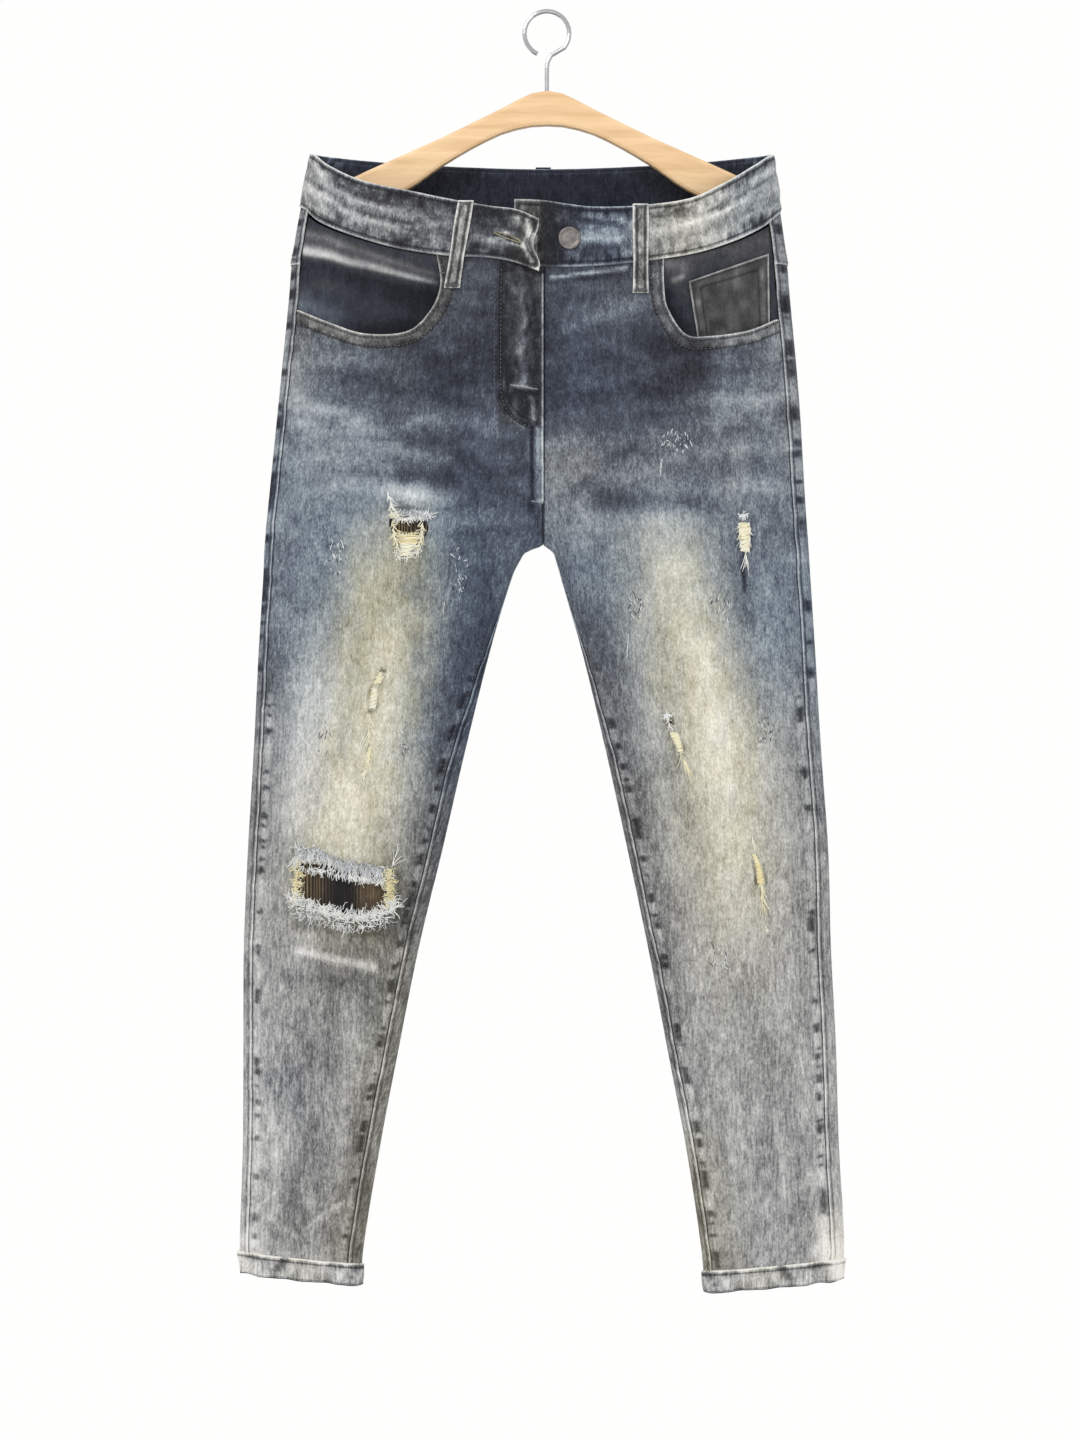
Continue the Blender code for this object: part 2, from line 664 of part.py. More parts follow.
def make_back(side):
    shares = [i / BACK_COLUMNS for i in range(BACK_COLUMNS + 1)]
    pitch = 1 / BACK_COLUMNS
    upper = [(s, yoke_line(s) + GAP / 2) for s in shares]
    seam_turn = -outseam_angle(side, -0.17) * 180 / pi
    first = seam_turn if side == "left" else 180 - seam_turn
    top = waist_seam(side, 90, first, GAP)
    yoke = upper + [(share_of(side, turn, z), z) for turn, z in top]
    levels = row_heights(-0.155, -0.255, 0.034)
    sew(f"yoke_{side}", cut(yoke, pitch, levels, stagger=0), back_place_for(side), "denim")

    place = back_place_for(side)
    low = HEM_HEIGHT + GAP
    panel = [(s, yoke_line(s) - GAP / 2) for s in reversed(shares)]
    end = [(s, hem_line(side, place(s, ANKLE)[0].x, low)) for s in shares]
    for z in reversed(seam_heights(panel[-1][1], end[0][1])[1:-1]):
        panel.append((0.0, z))
    panel += end
    for z in seam_heights(panel[0][1], end[-1][1])[1:-1]:
        panel.append((1.0, z))
    levels = seam_heights(yoke_line(0.0), min(end[0][1], end[-1][1]))
    outline = back_pocket(side)
    marked = [(share_of(side, angle_at(side, x, z), z), z) for x, z in outline]
    pattern = cut(panel, pitch, levels, marks=[marked], stagger=0, place=place)
    sew(f"back_{side}", pattern, place, "denim")
    sew(f"back_pocket_{side}", pattern, place, "denim", CLOTH, CLOTH + GAP, inside=marked)


def share_of(side, turn, z):
    """Place across the back pattern of an angle on the section."""
    start = outseam_angle(side, z)
    end = inner_seam_angle(side, z)
    if z < CROTCH:
        end = 2 * pi - end
    share = FOLD_SHARE * (1 + turn / start)
    if turn > 0:
        share = FOLD_SHARE + (1 - FOLD_SHARE) * turn / end
    return min(max(share, 0.0), 1.0)


def back_pocket(side):
    """Five-sided patch pocket, its top edge tilted with the yoke."""
    middle = CENTRE - INWARD[side] * 0.094
    half = 0.060
    lean = INWARD[side] * 0.006
    top, low, tip = -0.262, -0.382, -0.398
    inner = middle + INWARD[side] * half
    outer = middle - INWARD[side] * half
    return [(outer, top + lean * INWARD[side]), (inner, top - 0.004), (inner - 0.006 * INWARD[side], low),
            (middle, tip), (outer + 0.006 * INWARD[side], low)]


def make_hem(side):
    """Turned-up hem, a short tube slit at the inner seam."""
    start = radians(-172)
    end = -start

    def place(share, height):
        turn = start + (end - start) * share
        rough = x_at(side, turn, ANKLE)
        return skin_spot(side, turn, hem_line(side, rough, HEM_HEIGHT * height))

    pattern = cut([(0, 0), (1, 0), (1, 1), (0, 1)], 1 / 26, [0.0, 0.5, 1.0])
    sew(f"hem_{side}", pattern, place, "denim", 0.0018, 0.0004)


# ---------------------------------------------------------------- pockets, fly, patches
def pocket_depth(side, x, z):
    """How far a facing lies behind the front's face: little at the top, much at the mouth."""
    outer = ring(side, z)[0]
    from_side = abs(x - outer)
    below = waist_bottom(x) - z
    reach = ease(from_side, 0.008, 0.05) * ease(below, 0.004, 0.045)
    return CLOTH + LOOSE + GAPE[side] * reach


def make_facing(side):
    """Facing behind the pocket's mouth, from the side seam and the waistband."""
    inward = INWARD[side]

    def place(x, z):
        spot, out = front_place(x, z)
        return spot + Vector((0, pocket_depth(side, x, z), 0)), out

    mouth = curve_through(MOUTH[side], 2)
    inner_x = mouth[0][0] + inward * FACING_LAP
    low = min(z for _, z in mouth) - FACING_LAP
    seam_drop = 0.0006
    side_x = ring(side, -0.17)[0] + inward * (OUTSEAM_INSET[side] + seam_drop)
    top = waist_seam(side, waist_angle(inner_x, -0.20), waist_angle(side_x, -0.17), seam_drop)
    outline = [(x_at(side, turn, z), z) for turn, z in top]
    for z in (-0.200, -0.230, low + 0.010):
        outline.append((ring(side, z)[0] + inward * (OUTSEAM_INSET[side] + seam_drop), z))
    outline += [(mouth[-1][0] + inward * 0.030, low - 0.002), (mouth[0][0] - inward * 0.020, low - 0.004),
                (inner_x - inward * 0.004, low + 0.012)]
    heights = [z for _, z in outline]
    levels = row_heights(max(heights), min(heights), 0.018)
    marks = [COIN_POCKET] if side == "left" else []
    pattern = cut(outline, 0.013, levels, marks=marks)
    sew(f"facing_{side}", pattern, place, "denim_dark")
    if side == "left":
        sew("coin_pocket", pattern, place, "denim_dark", CLOTH, CLOTH + GAP, inside=COIN_POCKET)


def make_fly():
    """The closed zip and the shield behind the fly."""
    top = waist_bottom(CENTRE) - 0.0035
    zip_strip = [(CENTRE - 0.018, top), (CENTRE - 0.018, -0.335), (CENTRE + 0.008, -0.335),
                 (CENTRE + 0.008, top)]
    levels = row_heights(top, -0.335, 0.03)
    depth = CLOTH + LOOSE
    sew("fly_zip", cut(zip_strip, 0.013, levels), front_place, "metal", 0.0012, -depth)
    shield = [(CENTRE - 0.034, top), (CENTRE - 0.036, -0.290), (CENTRE - 0.026, -0.330),
              (CENTRE - 0.004, -0.352), (CENTRE + 0.012, -0.348), (CENTRE + 0.012, top)]
    levels = row_heights(top, -0.352, 0.03)
    depth += CLOTH + LOOSE
    sew("fly_shield", cut(shield, 0.013, levels), front_place, "denim", CLOTH, -depth)


def make_backings():
    """Patches sewn inside the right leg behind its holes."""
    depth = CLOTH + LOOSE
    for name, corners in (("knee_backing", KNEE_BACKING), ("thigh_backing", THIGH_BACKING)):
        heights = [z for _, z in corners]
        levels = row_heights(max(heights), min(heights), 0.025)
        sew(name, cut(corners, 0.013, levels), front_place, "backing", 0.0010, -depth)


# ---------------------------------------------------------------- loops and button
def make_loop(name, place, top, bottom):
    """Belt loop from above the waistband's edge to below it. Top and bottom are (X, height)."""
    half = LOOP_WIDTH / 2
    corners = [(top[0] - half, top[1]), (bottom[0] - half, bottom[1]),
               (bottom[0] + half, bottom[1]), (top[0] + half, top[1])]
    levels = row_heights(top[1], bottom[1], 0.018)
    pattern = cut(corners, LOOP_WIDTH / 2, levels)
    thick = 0.0016
    sew(name, pattern, place, "denim", thick, BAND_CLOTH / 2 + 0.0005 + thick)


def make_button():
    """Turned metal button with a raised rim, on the waistband's under end."""
    turn = waist_angle(0.0105, -0.1900)
    level = 0.45
    spot = waist_place(turn, level)[0]
    across = waist_place(turn + 1, level)[0] - waist_place(turn - 1, level)[0]
    upward = waist_place(turn, level + 0.1)[0] - waist_place(turn, level - 0.1)[0]
    out = across.cross(upward).normalized()
    rings = [(0.0, 0.0), (0.8, 0.0), (1.0, 0.0008), (1.0, 0.0022), (0.90, 0.0030), (0.78, 0.0026),
             (0.0, 0.0024)]
    sides = 28
    along = Vector((1, 0, 0)).cross(out).normalized()
    across = out.cross(along)
    base = spot + out * (BAND_CLOTH / 2 + GAP)
    points = [base]
    for share, height in rings[1:-1]:
        for i in range(sides):
            turn = 2 * pi * i / sides
            points.append(base + out * height + (along * cos(turn) + across * sin(turn)) * share * BUTTON_RADIUS)
    points.append(base + out * rings[-1][1])
    faces = []
    last = len(points) - 1
    for i in range(sides):
        after = (i + 1) % sides
        faces.append((0, 1 + after, 1 + i))
        for level in range(len(rings) - 3):
            low = 1 + level * sides
            high = low + sides
            faces.append((low + i, low + after, high + after, high + i))
        top_ring = last - sides
        faces.append((top_ring + i, top_ring + after, last))
    made = solid("button", points, faces, finish("metal", 0.35, 1.0))
    check = made.data.polygons[0].normal.dot(out)
    if check > 0:
        made.data.flip_normals()


# ---------------------------------------------------------------- hanger
def make_hanger():
    """Flat wooden board with sloping arms, and a round hook screwed into its middle."""
    steps = [i / 20 for i in range(21)]
    reach = BOARD[-1][0]
    stations = [reach * (1 - (1 - s) ** 1.4) for s in steps]
    right_top = [(x, smooth_read(BOARD, x, 1)) for x in stations]
    right_low = [(x, smooth_read(BOARD, x, 2)) for x in stations]
    loop = right_top + right_low[::-1]
    loop += [(-x, z) for x, z in right_low[1:]]
    loop += [(-x, z) for x, z in right_top[:0:-1]]
    count = len(loop)
    half = BOARD_THICK / 2
    points = [(x, -half, z) for x, z in loop] + [(x, half, z) for x, z in loop]
    faces = [tuple(range(count))[::-1], tuple(range(count, 2 * count))]
    faces += [(i, (i + 1) % count, (i + 1) % count + count, i + count) for i in range(count)]
    board = solid("hanger_board", points, faces, finish("wood", 0.5))
    bevel = board.modifiers.new("round edges", "BEVEL")
    bevel.width = 0.0028
    bevel.segments = 2
    bevel.limit_method = "ANGLE"
    bevel.angle_limit = radians(50)

    middle = -HOOK_BEND + HOOK_WIRE
    bend = [radians(HOOK_START + (270 - HOOK_START) * i / 26) for i in range(27)]
    path = [Vector((-HOOK_BEND * cos(turn), 0, middle + HOOK_BEND * sin(turn))) for turn in bend]
    neck = middle - HOOK_BEND
    path = path[:-4] + [Vector((0.0035, 0, neck + 0.0005)), Vector((0.0006, 0, neck - 0.0050)),
                        Vector((0, 0, neck - 0.0100)), Vector((0, 0, BOARD[0][1] + GAP))]
    wire = bpy.data.curves.new("hanger_hook", "CURVE")
    wire.dimensions = "3D"
    wire.bevel_depth = HOOK_WIRE
    wire.bevel_resolution = 3
    wire.use_fill_caps = True
    spline = wire.splines.new("POLY")
    spline.points.add(len(path) - 1)
    for point, place in zip(spline.points, path):
        point.co = (*place, 1.0)
    wire.materials.append(finish("steel", 0.3, 1.0))
    bpy.context.scene.collection.objects.link(bpy.data.objects.new("hanger_hook", wire))


# ---------------------------------------------------------------- the whole
def main():
    for old in list(bpy.data.objects):
        bpy.data.objects.remove(old, do_unlink=True)
    finish("metal", 0.35, 1.0)
    make_waistband()
    for side in SIDES:
        make_front(side)
        make_back(side)
        make_facing(side)
        make_hem(side)
    make_fly()
    make_backings()
    make_loop("loop_front_right", front_place, (-0.0660, -0.1590), (-0.0775, -0.2304))
    make_loop("loop_front_left", front_place, (0.0763, -0.1615), (0.0763, -0.2345))
    make_loop("loop_back_right", back_place, (CENTRE - 0.105, -0.1190), (CENTRE - 0.108, -0.1850))
    make_loop("loop_back_centre", back_place, (CENTRE, -0.1225), (CENTRE, -0.1890))
    make_loop("loop_back_left", back_place, (CENTRE + 0.105, -0.1190), (CENTRE + 0.108, -0.1850))
    make_button()
    make_hanger()


main()
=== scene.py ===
"""Ripped skinny jeans with an open waist button, hung by the waist on a plain wooden hanger.

Metres, +Z up, the garment's front faces -Y. Right and left are the wearer's.
"""

from math import cos, pi, radians, sin

import bmesh
import bpy
import numpy as np
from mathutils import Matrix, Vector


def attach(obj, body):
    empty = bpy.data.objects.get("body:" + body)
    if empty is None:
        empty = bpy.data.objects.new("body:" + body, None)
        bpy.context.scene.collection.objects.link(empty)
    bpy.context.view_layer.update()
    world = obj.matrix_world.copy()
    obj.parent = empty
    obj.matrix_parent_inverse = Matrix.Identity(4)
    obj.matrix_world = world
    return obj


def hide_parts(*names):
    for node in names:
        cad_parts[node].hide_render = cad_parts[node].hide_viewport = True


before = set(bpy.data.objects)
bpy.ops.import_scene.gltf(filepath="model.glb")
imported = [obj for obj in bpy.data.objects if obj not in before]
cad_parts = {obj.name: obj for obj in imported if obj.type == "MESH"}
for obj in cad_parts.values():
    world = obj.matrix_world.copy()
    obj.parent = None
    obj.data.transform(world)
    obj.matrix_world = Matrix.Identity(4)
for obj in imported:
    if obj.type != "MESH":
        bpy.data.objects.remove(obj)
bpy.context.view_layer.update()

# ---------------------------------------------------------------- the room it hangs in
# A pale studio floor below the garment with nothing behind it, so that the back can be seen
# too, large soft lights before and behind, and a level camera a few steps in front of it.
FLOOR_LEVEL = -1.30
FLOOR_BACK = 0.66
PALE = (0.93, 0.92, 0.925, 1.0)

floor_mesh = bpy.data.meshes.new("floor")
floor_mesh.from_pydata([(-3.0, -3.2, FLOOR_LEVEL), (3.0, -3.2, FLOOR_LEVEL), (3.0, FLOOR_BACK, FLOOR_LEVEL),
                        (-3.0, FLOOR_BACK, FLOOR_LEVEL)], [], [(0, 1, 2, 3)])
floor = bpy.data.objects.new("floor", floor_mesh)
bpy.context.scene.collection.objects.link(floor)
pale = bpy.data.materials.new("pale floor")
pale.use_nodes = True
pale.node_tree.nodes["Principled BSDF"].inputs["Base Color"].default_value = PALE
pale.node_tree.nodes["Principled BSDF"].inputs["Roughness"].default_value = 0.95
floor_mesh.materials.append(pale)

world = bpy.data.worlds.new("soft daylight")
world.use_nodes = True
world.node_tree.nodes["Background"].inputs["Color"].default_value = (1.0, 0.995, 0.99, 1.0)
seen = world.node_tree.nodes.new("ShaderNodeLightPath")
strength = world.node_tree.nodes.new("ShaderNodeMapRange")
strength.inputs["To Min"].default_value = 0.66
strength.inputs["To Max"].default_value = 1.0
world.node_tree.links.new(seen.outputs["Is Camera Ray"], strength.inputs["Value"])
world.node_tree.links.new(strength.outputs["Result"], world.node_tree.nodes["Background"].inputs["Strength"])
bpy.context.scene.world = world
bpy.context.scene.view_settings.view_transform = "Standard"

# Name, place, aim, size, watts
LIGHTS = [
    ("front light", (-1.0, -2.4, 1.1), (0.0, 0.0, -0.45), 1.5, 31.0),
    ("side light", (2.2, -1.5, 0.2), (0.0, 0.0, -0.60), 1.2, 9.0),
    ("top light", (0.0, -0.3, 1.7), (0.0, 0.0, -0.4), 1.2, 9.0),
    ("back light, right", (-1.4, 2.4, 0.9), (0.0, 0.0, -0.5), 1.5, 22.0),
    ("back light, left", (1.9, 1.9, 0.1), (0.0, 0.0, -0.6), 1.2, 9.0),
]
for name, place, aim, size, watts in LIGHTS:
    lamp = bpy.data.lights.new(name, "AREA")
    lamp.shape = "DISK"
    lamp.size = size
    lamp.energy = watts
    holder = bpy.data.objects.new(name, lamp)
    holder.location = place
    toward = Vector(aim) - Vector(place)
    holder.rotation_euler = toward.to_track_quat("-Z", "Y").to_euler()
    bpy.context.scene.collection.objects.link(holder)

FRAME_HEIGHT = 1.1808
CAMERA_AWAY = 3.2
lens = bpy.data.cameras.new("camera")
lens.sensor_fit = "VERTICAL"
lens.angle = 2 * np.arctan(FRAME_HEIGHT / 2 / (CAMERA_AWAY - 0.02))
camera = bpy.data.objects.new("camera", lens)
camera.location = (-0.0057, -CAMERA_AWAY, -0.5830)
camera.rotation_euler = (radians(90), 0.0, 0.0)
bpy.context.scene.collection.objects.link(camera)
bpy.context.scene.camera = camera

# ---------------------------------------------------------------- front panels
# Each front is one piece of stretch denim, cut out at the pocket and sewn to the back along
# the side and inner seams. It is washed down, sanded pale on the thigh and creased at the hip.
CLOTH = 0.0012
CENTRE = -0.003
CROTCH = -0.4395
RISE_START = -0.3745
CURL_POWER = 1.5
ARCH = 0.006
ARCH_REACH = 6
ANKLE = -1.030
HEM_HEIGHT = 0.018
BAND_TUCK = 0.004


def table(units, rows):
    """Rows in metres and shares. Typed in tenths of a millimetre (t), hundredths of one (f) or of
    a whole (h), or as they stand (d); p is a path in tenths of a millimetre."""
    parts = {"t": 10000, "f": 100000, "h": 100}
    return [tuple(table("tt", value) if unit == "p" else value / parts[unit] if unit in parts else value
                  for value, unit in zip(row, units)) for row in rows]


# Height, outer edge, inner edge, front depth and back depth of each side
SIDES = {
    "right": np.array(table("ttttt", [
        (-1050, -1920, -30, 300, 300), (-1361, -1984, -30, 330, 320), (-1975, -2095, -30, 360, 350),
        (-2386, -2132, -30, 360, 370), (-3206, -2214, -30, 340, 390), (-4026, -2296, -100, 290, 350),
        (-4395, -2330, -170, 260, 310), (-4636, -2340, -287, 250, 290), (-5256, -2378, -467, 230, 250),
        (-6076, -2419, -672, 200, 220), (-6896, -2468, -861, 180, 190), (-7716, -2501, -1058, 165, 175),
        (-8536, -2505, -1222, 150, 165), (-9356, -2510, -1378, 140, 150), (-10176, -2535, -1512, 130, 135),
        (-10450, -2530, -1533, 130, 130)])),
    "left": np.array(table("ttttt", [
        (-1050, 1850, -30, 300, 300), (-1361, 1886, -30, 330, 320), (-1975, 1972, -30, 360, 350),
        (-2386, 2009, -30, 360, 370), (-3206, 2083, -30, 340, 390), (-4026, 2132, 10, 290, 350),
        (-4395, 2158, 50, 260, 310), (-4636, 2173, 115, 250, 290), (-5256, 2214, 287, 230, 250),
        (-6076, 2263, 484, 205, 220), (-6896, 2321, 664, 185, 190), (-7716, 2345, 836, 165, 175),
        (-8536, 2386, 992, 155, 165), (-9356, 2411, 1148, 145, 150), (-10176, 2452, 1271, 135, 135),
        (-10530, 2420, 1305, 130, 130)])),
}
INWARD = {"right": 1.0, "left": -1.0}
OUTSEAM_INSET = {"right": 0.0075, "left": 0.0110}
INSEAM_INSET = {"right": 0.0110, "left": 0.0065}
INSEAM_TURN = (-0.470, -0.640)
HEM_BOTTOM = {"right": (-1.0385, -1.0490), "left": (-1.0445, -1.0550)}

# Angle round the waist, top edge, bottom edge, stand-off
WAIST = np.array(table("dttt", [
    (-97, -1570, -2115, -34), (-90, -1580, -2130, -34), (-84, -1615, -2132, -10), (-78, -1638, -2125, 0),
    (-67, -1626, -2088, 0), (-52, -1560, -2015, 0), (-40, -1430, -1920, 0), (-25, -1275, -1790, 0),
    (-10, -1180, -1675, 0), (20, -1165, -1620, 0), (60, -1215, -1665, 0), (90, -1240, -1690, 0),
    (120, -1215, -1665, 0), (160, -1165, -1610, 0), (190, -1170, -1620, 0), (205, -1275, -1740, 0),
    (222, -1415, -1875, 0), (235, -1490, -1975, 0), (248, -1575, -2040, 0), (258, -1635, -2060, 6),
    (264, -1668, -2105, 40), (269, -1750, -2180, 85)]))

# Broad folds of each face: X and height of one end and of the other, half-width, height
BROAD_FOLDS = {
    "front": table("tttttt", [
        (-1900, -3000, -600, -4050, 240, -30), (1800, -3100, 500, -4050, 240, -30),
        (-1550, -4800, -1720, -6400, 280, -25), (1200, -5000, 1400, -6500, 280, -25),
        (-2250, -7750, -1250, -7900, 220, -22), (1100, -7350, 2150, -7600, 220, 20)]),
    "back": table("tttttt", [
        (-1800, -4300, -400, -4050, 260, -40), (1600, -4300, 350, -4050, 260, -40),
        (-2400, -6900, -1100, -7050, 200, -30), (2200, -6950, 900, -7100, 200, -30)]),
}

# Small creases of the front: the same columns, uneven as the cloth has them
FRONT_CREASES = table("tttttt", [
    (-2050, -3180, -1200, -3520, 60, 9), (-1950, -3520, -850, -3720, 70, 8), (-2150, -3720, -1000, -3980, 65, 9),
    (-1200, -3050, -450, -3220, 55, 7), (-1100, -3380, -400, -3460, 50, 6), (-1600, -4250, -500, -4180, 80, 9),
    (-750, -3650, -140, -4080, 60, -9), (-600, -4300, -160, -4280, 45, -8), (1900, -3220, 900, -3500, 65, 9),
    (2000, -3550, 800, -3750, 70, 8), (1950, -3920, 600, -3980, 70, 8), (1100, -2900, 300, -3100, 55, 6),
    (1200, -4180, 300, -4140, 75, 9), (700, -3600, 80, -4050, 60, -9), (-2050, -7720, -1430, -7860, 36, 13),
    (-2150, -7950, -1500, -8000, 60, -10), (-1500, -5200, -1700, -6100, 90, -10),
    (-1180, -5000, -1350, -6400, 100, 10), (-1950, -5600, -2050, -6600, 90, 8), (-1650, -6400, -1500, -6900, 80, 9),
    (1250, -5200, 1500, -6400, 100, 10), (1650, -4800, 1780, -5900, 100, -9), (920, -5600, 1100, -6500, 90, -8),
    (-2280, -9000, -2210, -9850, 30, 7), (-2210, -9850, -2320, -10040, 30, 7), (-1950, -10030, -1710, -9820, 28, 11),
    (-1860, -8000, -1900, -9000, 50, 6), (-1600, -8200, -1700, -9300, 50, 6), (1500, -8800, 1660, -9550, 40, 7),
    (1900, -9050, 1980, -9850, 50, 6), (2150, -9600, 1800, -9920, 45, 8)])
BACK_CREASES = table("tttttt", [
    (-2000, -4250, -600, -4400, 70, -13), (-1900, -4550, -700, -4620, 80, -10), (1800, -4280, 400, -4400, 70, -13),
    (1750, -4550, 600, -4620, 80, -10), (-2350, -6720, -1200, -6900, 60, -16), (-2400, -7050, -1100, -7220, 65, -15),
    (-2350, -7420, -1200, -7450, 60, -11), (2200, -6780, 900, -6940, 60, -16), (2250, -7120, 850, -7250, 65, -15),
    (2200, -7480, 1000, -7500, 60, -11), (-1500, -5000, -1700, -6400, 120, 12), (1200, -5000, 1500, -6400, 120, 12),
    (-1900, -8000, -2000, -9300, 70, 8), (1800, -8000, 1900, -9300, 70, 8)])

MOUTH = {
    "right": table("tt", [
        (-900, -2040), (-870, -2271), (-950, -2480), (-1140, -2652), (-1480, -2668), (-1760, -2580), (-2040, -2460)]),
    "left": table("tt", [
        (955, -2080), (955, -2271), (985, -2460), (1130, -2672), (1320, -2690), (1640, -2640), (1880, -2540)]),
}
KNEE_HOLE = table("tt", [
    (-2035, -7025), (-1690, -7040), (-1310, -7080), (-1320, -7360), (-1650, -7430), (-2020, -7330)])
THIGH_HOLE = table("tt", [
    (-1275, -4180), (-995, -4195), (-1005, -4350), (-1130, -4450), (-1245, -4340)])


def table_read(table, at, column):
    """Value of a table's column at places in its first column, on a smooth curve."""
    keys, values = table[:, 0], table[:, column]
    at = np.asarray(at, float)
    if keys[0] > keys[-1]:
        keys, at = -keys, -at
    slopes = np.empty_like(values)
    slopes[1:-1] = (values[2:] - values[:-2]) / (keys[2:] - keys[:-2])
    slopes[0] = (values[1] - values[0]) / (keys[1] - keys[0])
    slopes[-1] = (values[-1] - values[-2]) / (keys[-1] - keys[-2])
    at = np.clip(at, keys[0], keys[-1])
    low = np.clip(np.searchsorted(keys, at, side="right") - 1, 0, len(keys) - 2)
    span = keys[low + 1] - keys[low]
    t = (at - keys[low]) / span
    start, end = slopes[low] * span, slopes[low + 1] * span
    change = values[low + 1] - values[low]
    return values[low] + start * t + (3 * change - 2 * start - end) * t**2 + (start + end - 2 * change) * t**3


def ease(value, start, end):
    """0 before start, 1 after end, smooth between."""
    t = np.clip((value - start) / (end - start), 0.0, 1.0)
    return t * t * (3 - 2 * t)


def ring(side, z):
    """Outer edge, inner edge, calm inner edge, depths and curl of one side at heights."""
    rows = SIDES[side]
    calm = table_read(rows, z, 2)
    opened = np.sqrt(np.clip((CROTCH - z) / ARCH, 0.0, 1.0))
    inner = CENTRE + (calm - CENTRE) * opened
    fall = np.clip((RISE_START - z) / (RISE_START - CROTCH), 0.0, 1.0)
    curl = 1 - (1 - fall**2) ** CURL_POWER
    return table_read(rows, z, 1), inner, calm, table_read(rows, z, 3), table_read(rows, z, 4), curl


def x_at(side, angle, z):
    """X of angles from the outer fold at heights."""
    outer, inner, calm, _, _, curl = ring(side, z)
    share = (1 - np.cos(angle)) / (1 + curl)
    return outer + (calm - outer) * share + (inner - calm) * share**ARCH_REACH


def angle_at(side, x, z):
    """Angle from the outer fold of X places at heights."""
    outer, inner, calm, _, _, curl = ring(side, z)
    low = np.zeros(np.broadcast(x, z).shape)
    high = low + 2 / (1 + curl)
    for _ in range(34):
        share = (low + high) / 2
        short = np.abs((calm - outer) * share + (inner - calm) * share**ARCH_REACH) < np.abs(x - outer)
        low = np.where(short, share, low)
        high = np.where(short, high, share)
    return np.arccos(np.clip(1 - (1 + curl) * low, -1.0, 1.0))


def outseam_angle(side, z):
    """Angle from the outer fold to the side seam, on the front."""
    return angle_at(side, ring(side, z)[0] + INWARD[side] * OUTSEAM_INSET[side], z)


def inner_seam_angle(side, z):
    """Angle from the outer fold to the centre seam, or to the leg's inner seam on its front."""
    _, inner, _, _, _, curl = ring(side, z)
    inset = INSEAM_INSET[side] * ease(z, *INSEAM_TURN)
    on_leg = angle_at(side, inner - INWARD[side] * inset, np.minimum(z, CROTCH - 1e-6))
    return np.where(z >= CROTCH, np.arccos(-curl), on_leg)


def hump(off, width):
    """1 at no distance, falling smoothly to nothing beyond a width."""
    return np.exp(-((off / width) ** 2))


def stroke_sum(strokes, x, z):
    """Sum of soft strokes, each with two ends, a half-width and a height."""
    total = np.zeros(np.broadcast(x, z).shape)
    for x0, z0, x1, z1, width, height in strokes:
        along = ((x - x0) * (x1 - x0) + (z - z0) * (z1 - z0)) / ((x1 - x0) ** 2 + (z1 - z0) ** 2)
        held = np.clip(along, 0.0, 1.0)
        far = np.hypot(x - x0 - held * (x1 - x0), z - z0 - held * (z1 - z0))
        total += height * hump(far, width)
    return total


def grain(x, z, size, seed):
    """Smooth random field from -1 to 1 with bumps of about a size."""
    u, v = np.asarray(x) / size, np.asarray(z) / size
    iu, iv = np.floor(u).astype(np.int64), np.floor(v).astype(np.int64)
    fu, fv = u - iu, v - iv
    fu, fv = fu * fu * (3 - 2 * fu), fv * fv * (3 - 2 * fv)

    def knot(a, b):
        mixed = (a * 374761393 + b * 668265263 + seed * 144269504) & 0x7FFFFFFF
        mixed = ((mixed ^ (mixed >> 13)) * 1274126177) & 0x7FFFFFFF
        return ((mixed ^ (mixed >> 16)) & 0xFFFF) / 32767.5 - 1

    top = knot(iu, iv) * (1 - fu) + knot(iu + 1, iv) * fu
    low = knot(iu, iv + 1) * (1 - fu) + knot(iu + 1, iv + 1) * fu
    return top * (1 - fv) + low * fv


def skin(side, angle, z):
    """Plain form of the cloth's outer face. Angle 0 is the outer fold, below 0 is the front."""
    _, _, _, front, back, _ = ring(side, z)
    x = x_at(side, angle, z)
    before = (angle < 0) | (angle > pi)
    folds = [np.zeros_like(x), np.zeros_like(x)]
    for index, face in enumerate(("front", "back")):
        folds[index] = stroke_sum(BROAD_FOLDS[face], x, z)
    swell = np.abs(np.sin(angle))
    y = np.where(before, -(front + folds[0]) * swell, (back + folds[1]) * swell)
    return np.stack([x, y, z + np.zeros_like(x)], -1)


def skin_spot(side, angle, z):
    """Points on the plain form and the directions facing out of it there."""
    step, drop = 0.002, 0.0005
    spot = skin(side, angle, z)
    across = skin(side, angle + step, z) - skin(side, angle - step, z)
    down = skin(side, angle, z - drop) - skin(side, angle, z + drop)
    out = np.cross(across, down)
    out /= np.linalg.norm(out, axis=-1, keepdims=True)
    outer, inner = ring(side, z)[:2]
    away = (spot[..., 0] - (outer + inner) / 2) * out[..., 0] + 4 * spot[..., 1] * out[..., 1]
    return spot, out * np.where(away < 0, -1.0, 1.0)[..., None]


def seam_pucker(z, seed):
    """Uneven bunching along a seam, from -1 to 1."""
    return 0.65 * grain(z, 0.0 * z, 0.0090, seed) + 0.5 * grain(z, 0.0 * z, 0.0160, seed + 7)


FLY_LINE = table("tt", [
    (-372, -2160), (-377, -2600), (-377, -3060), (-362, -3220), (-303, -3330), (-215, -3400), (-125, -3440)])
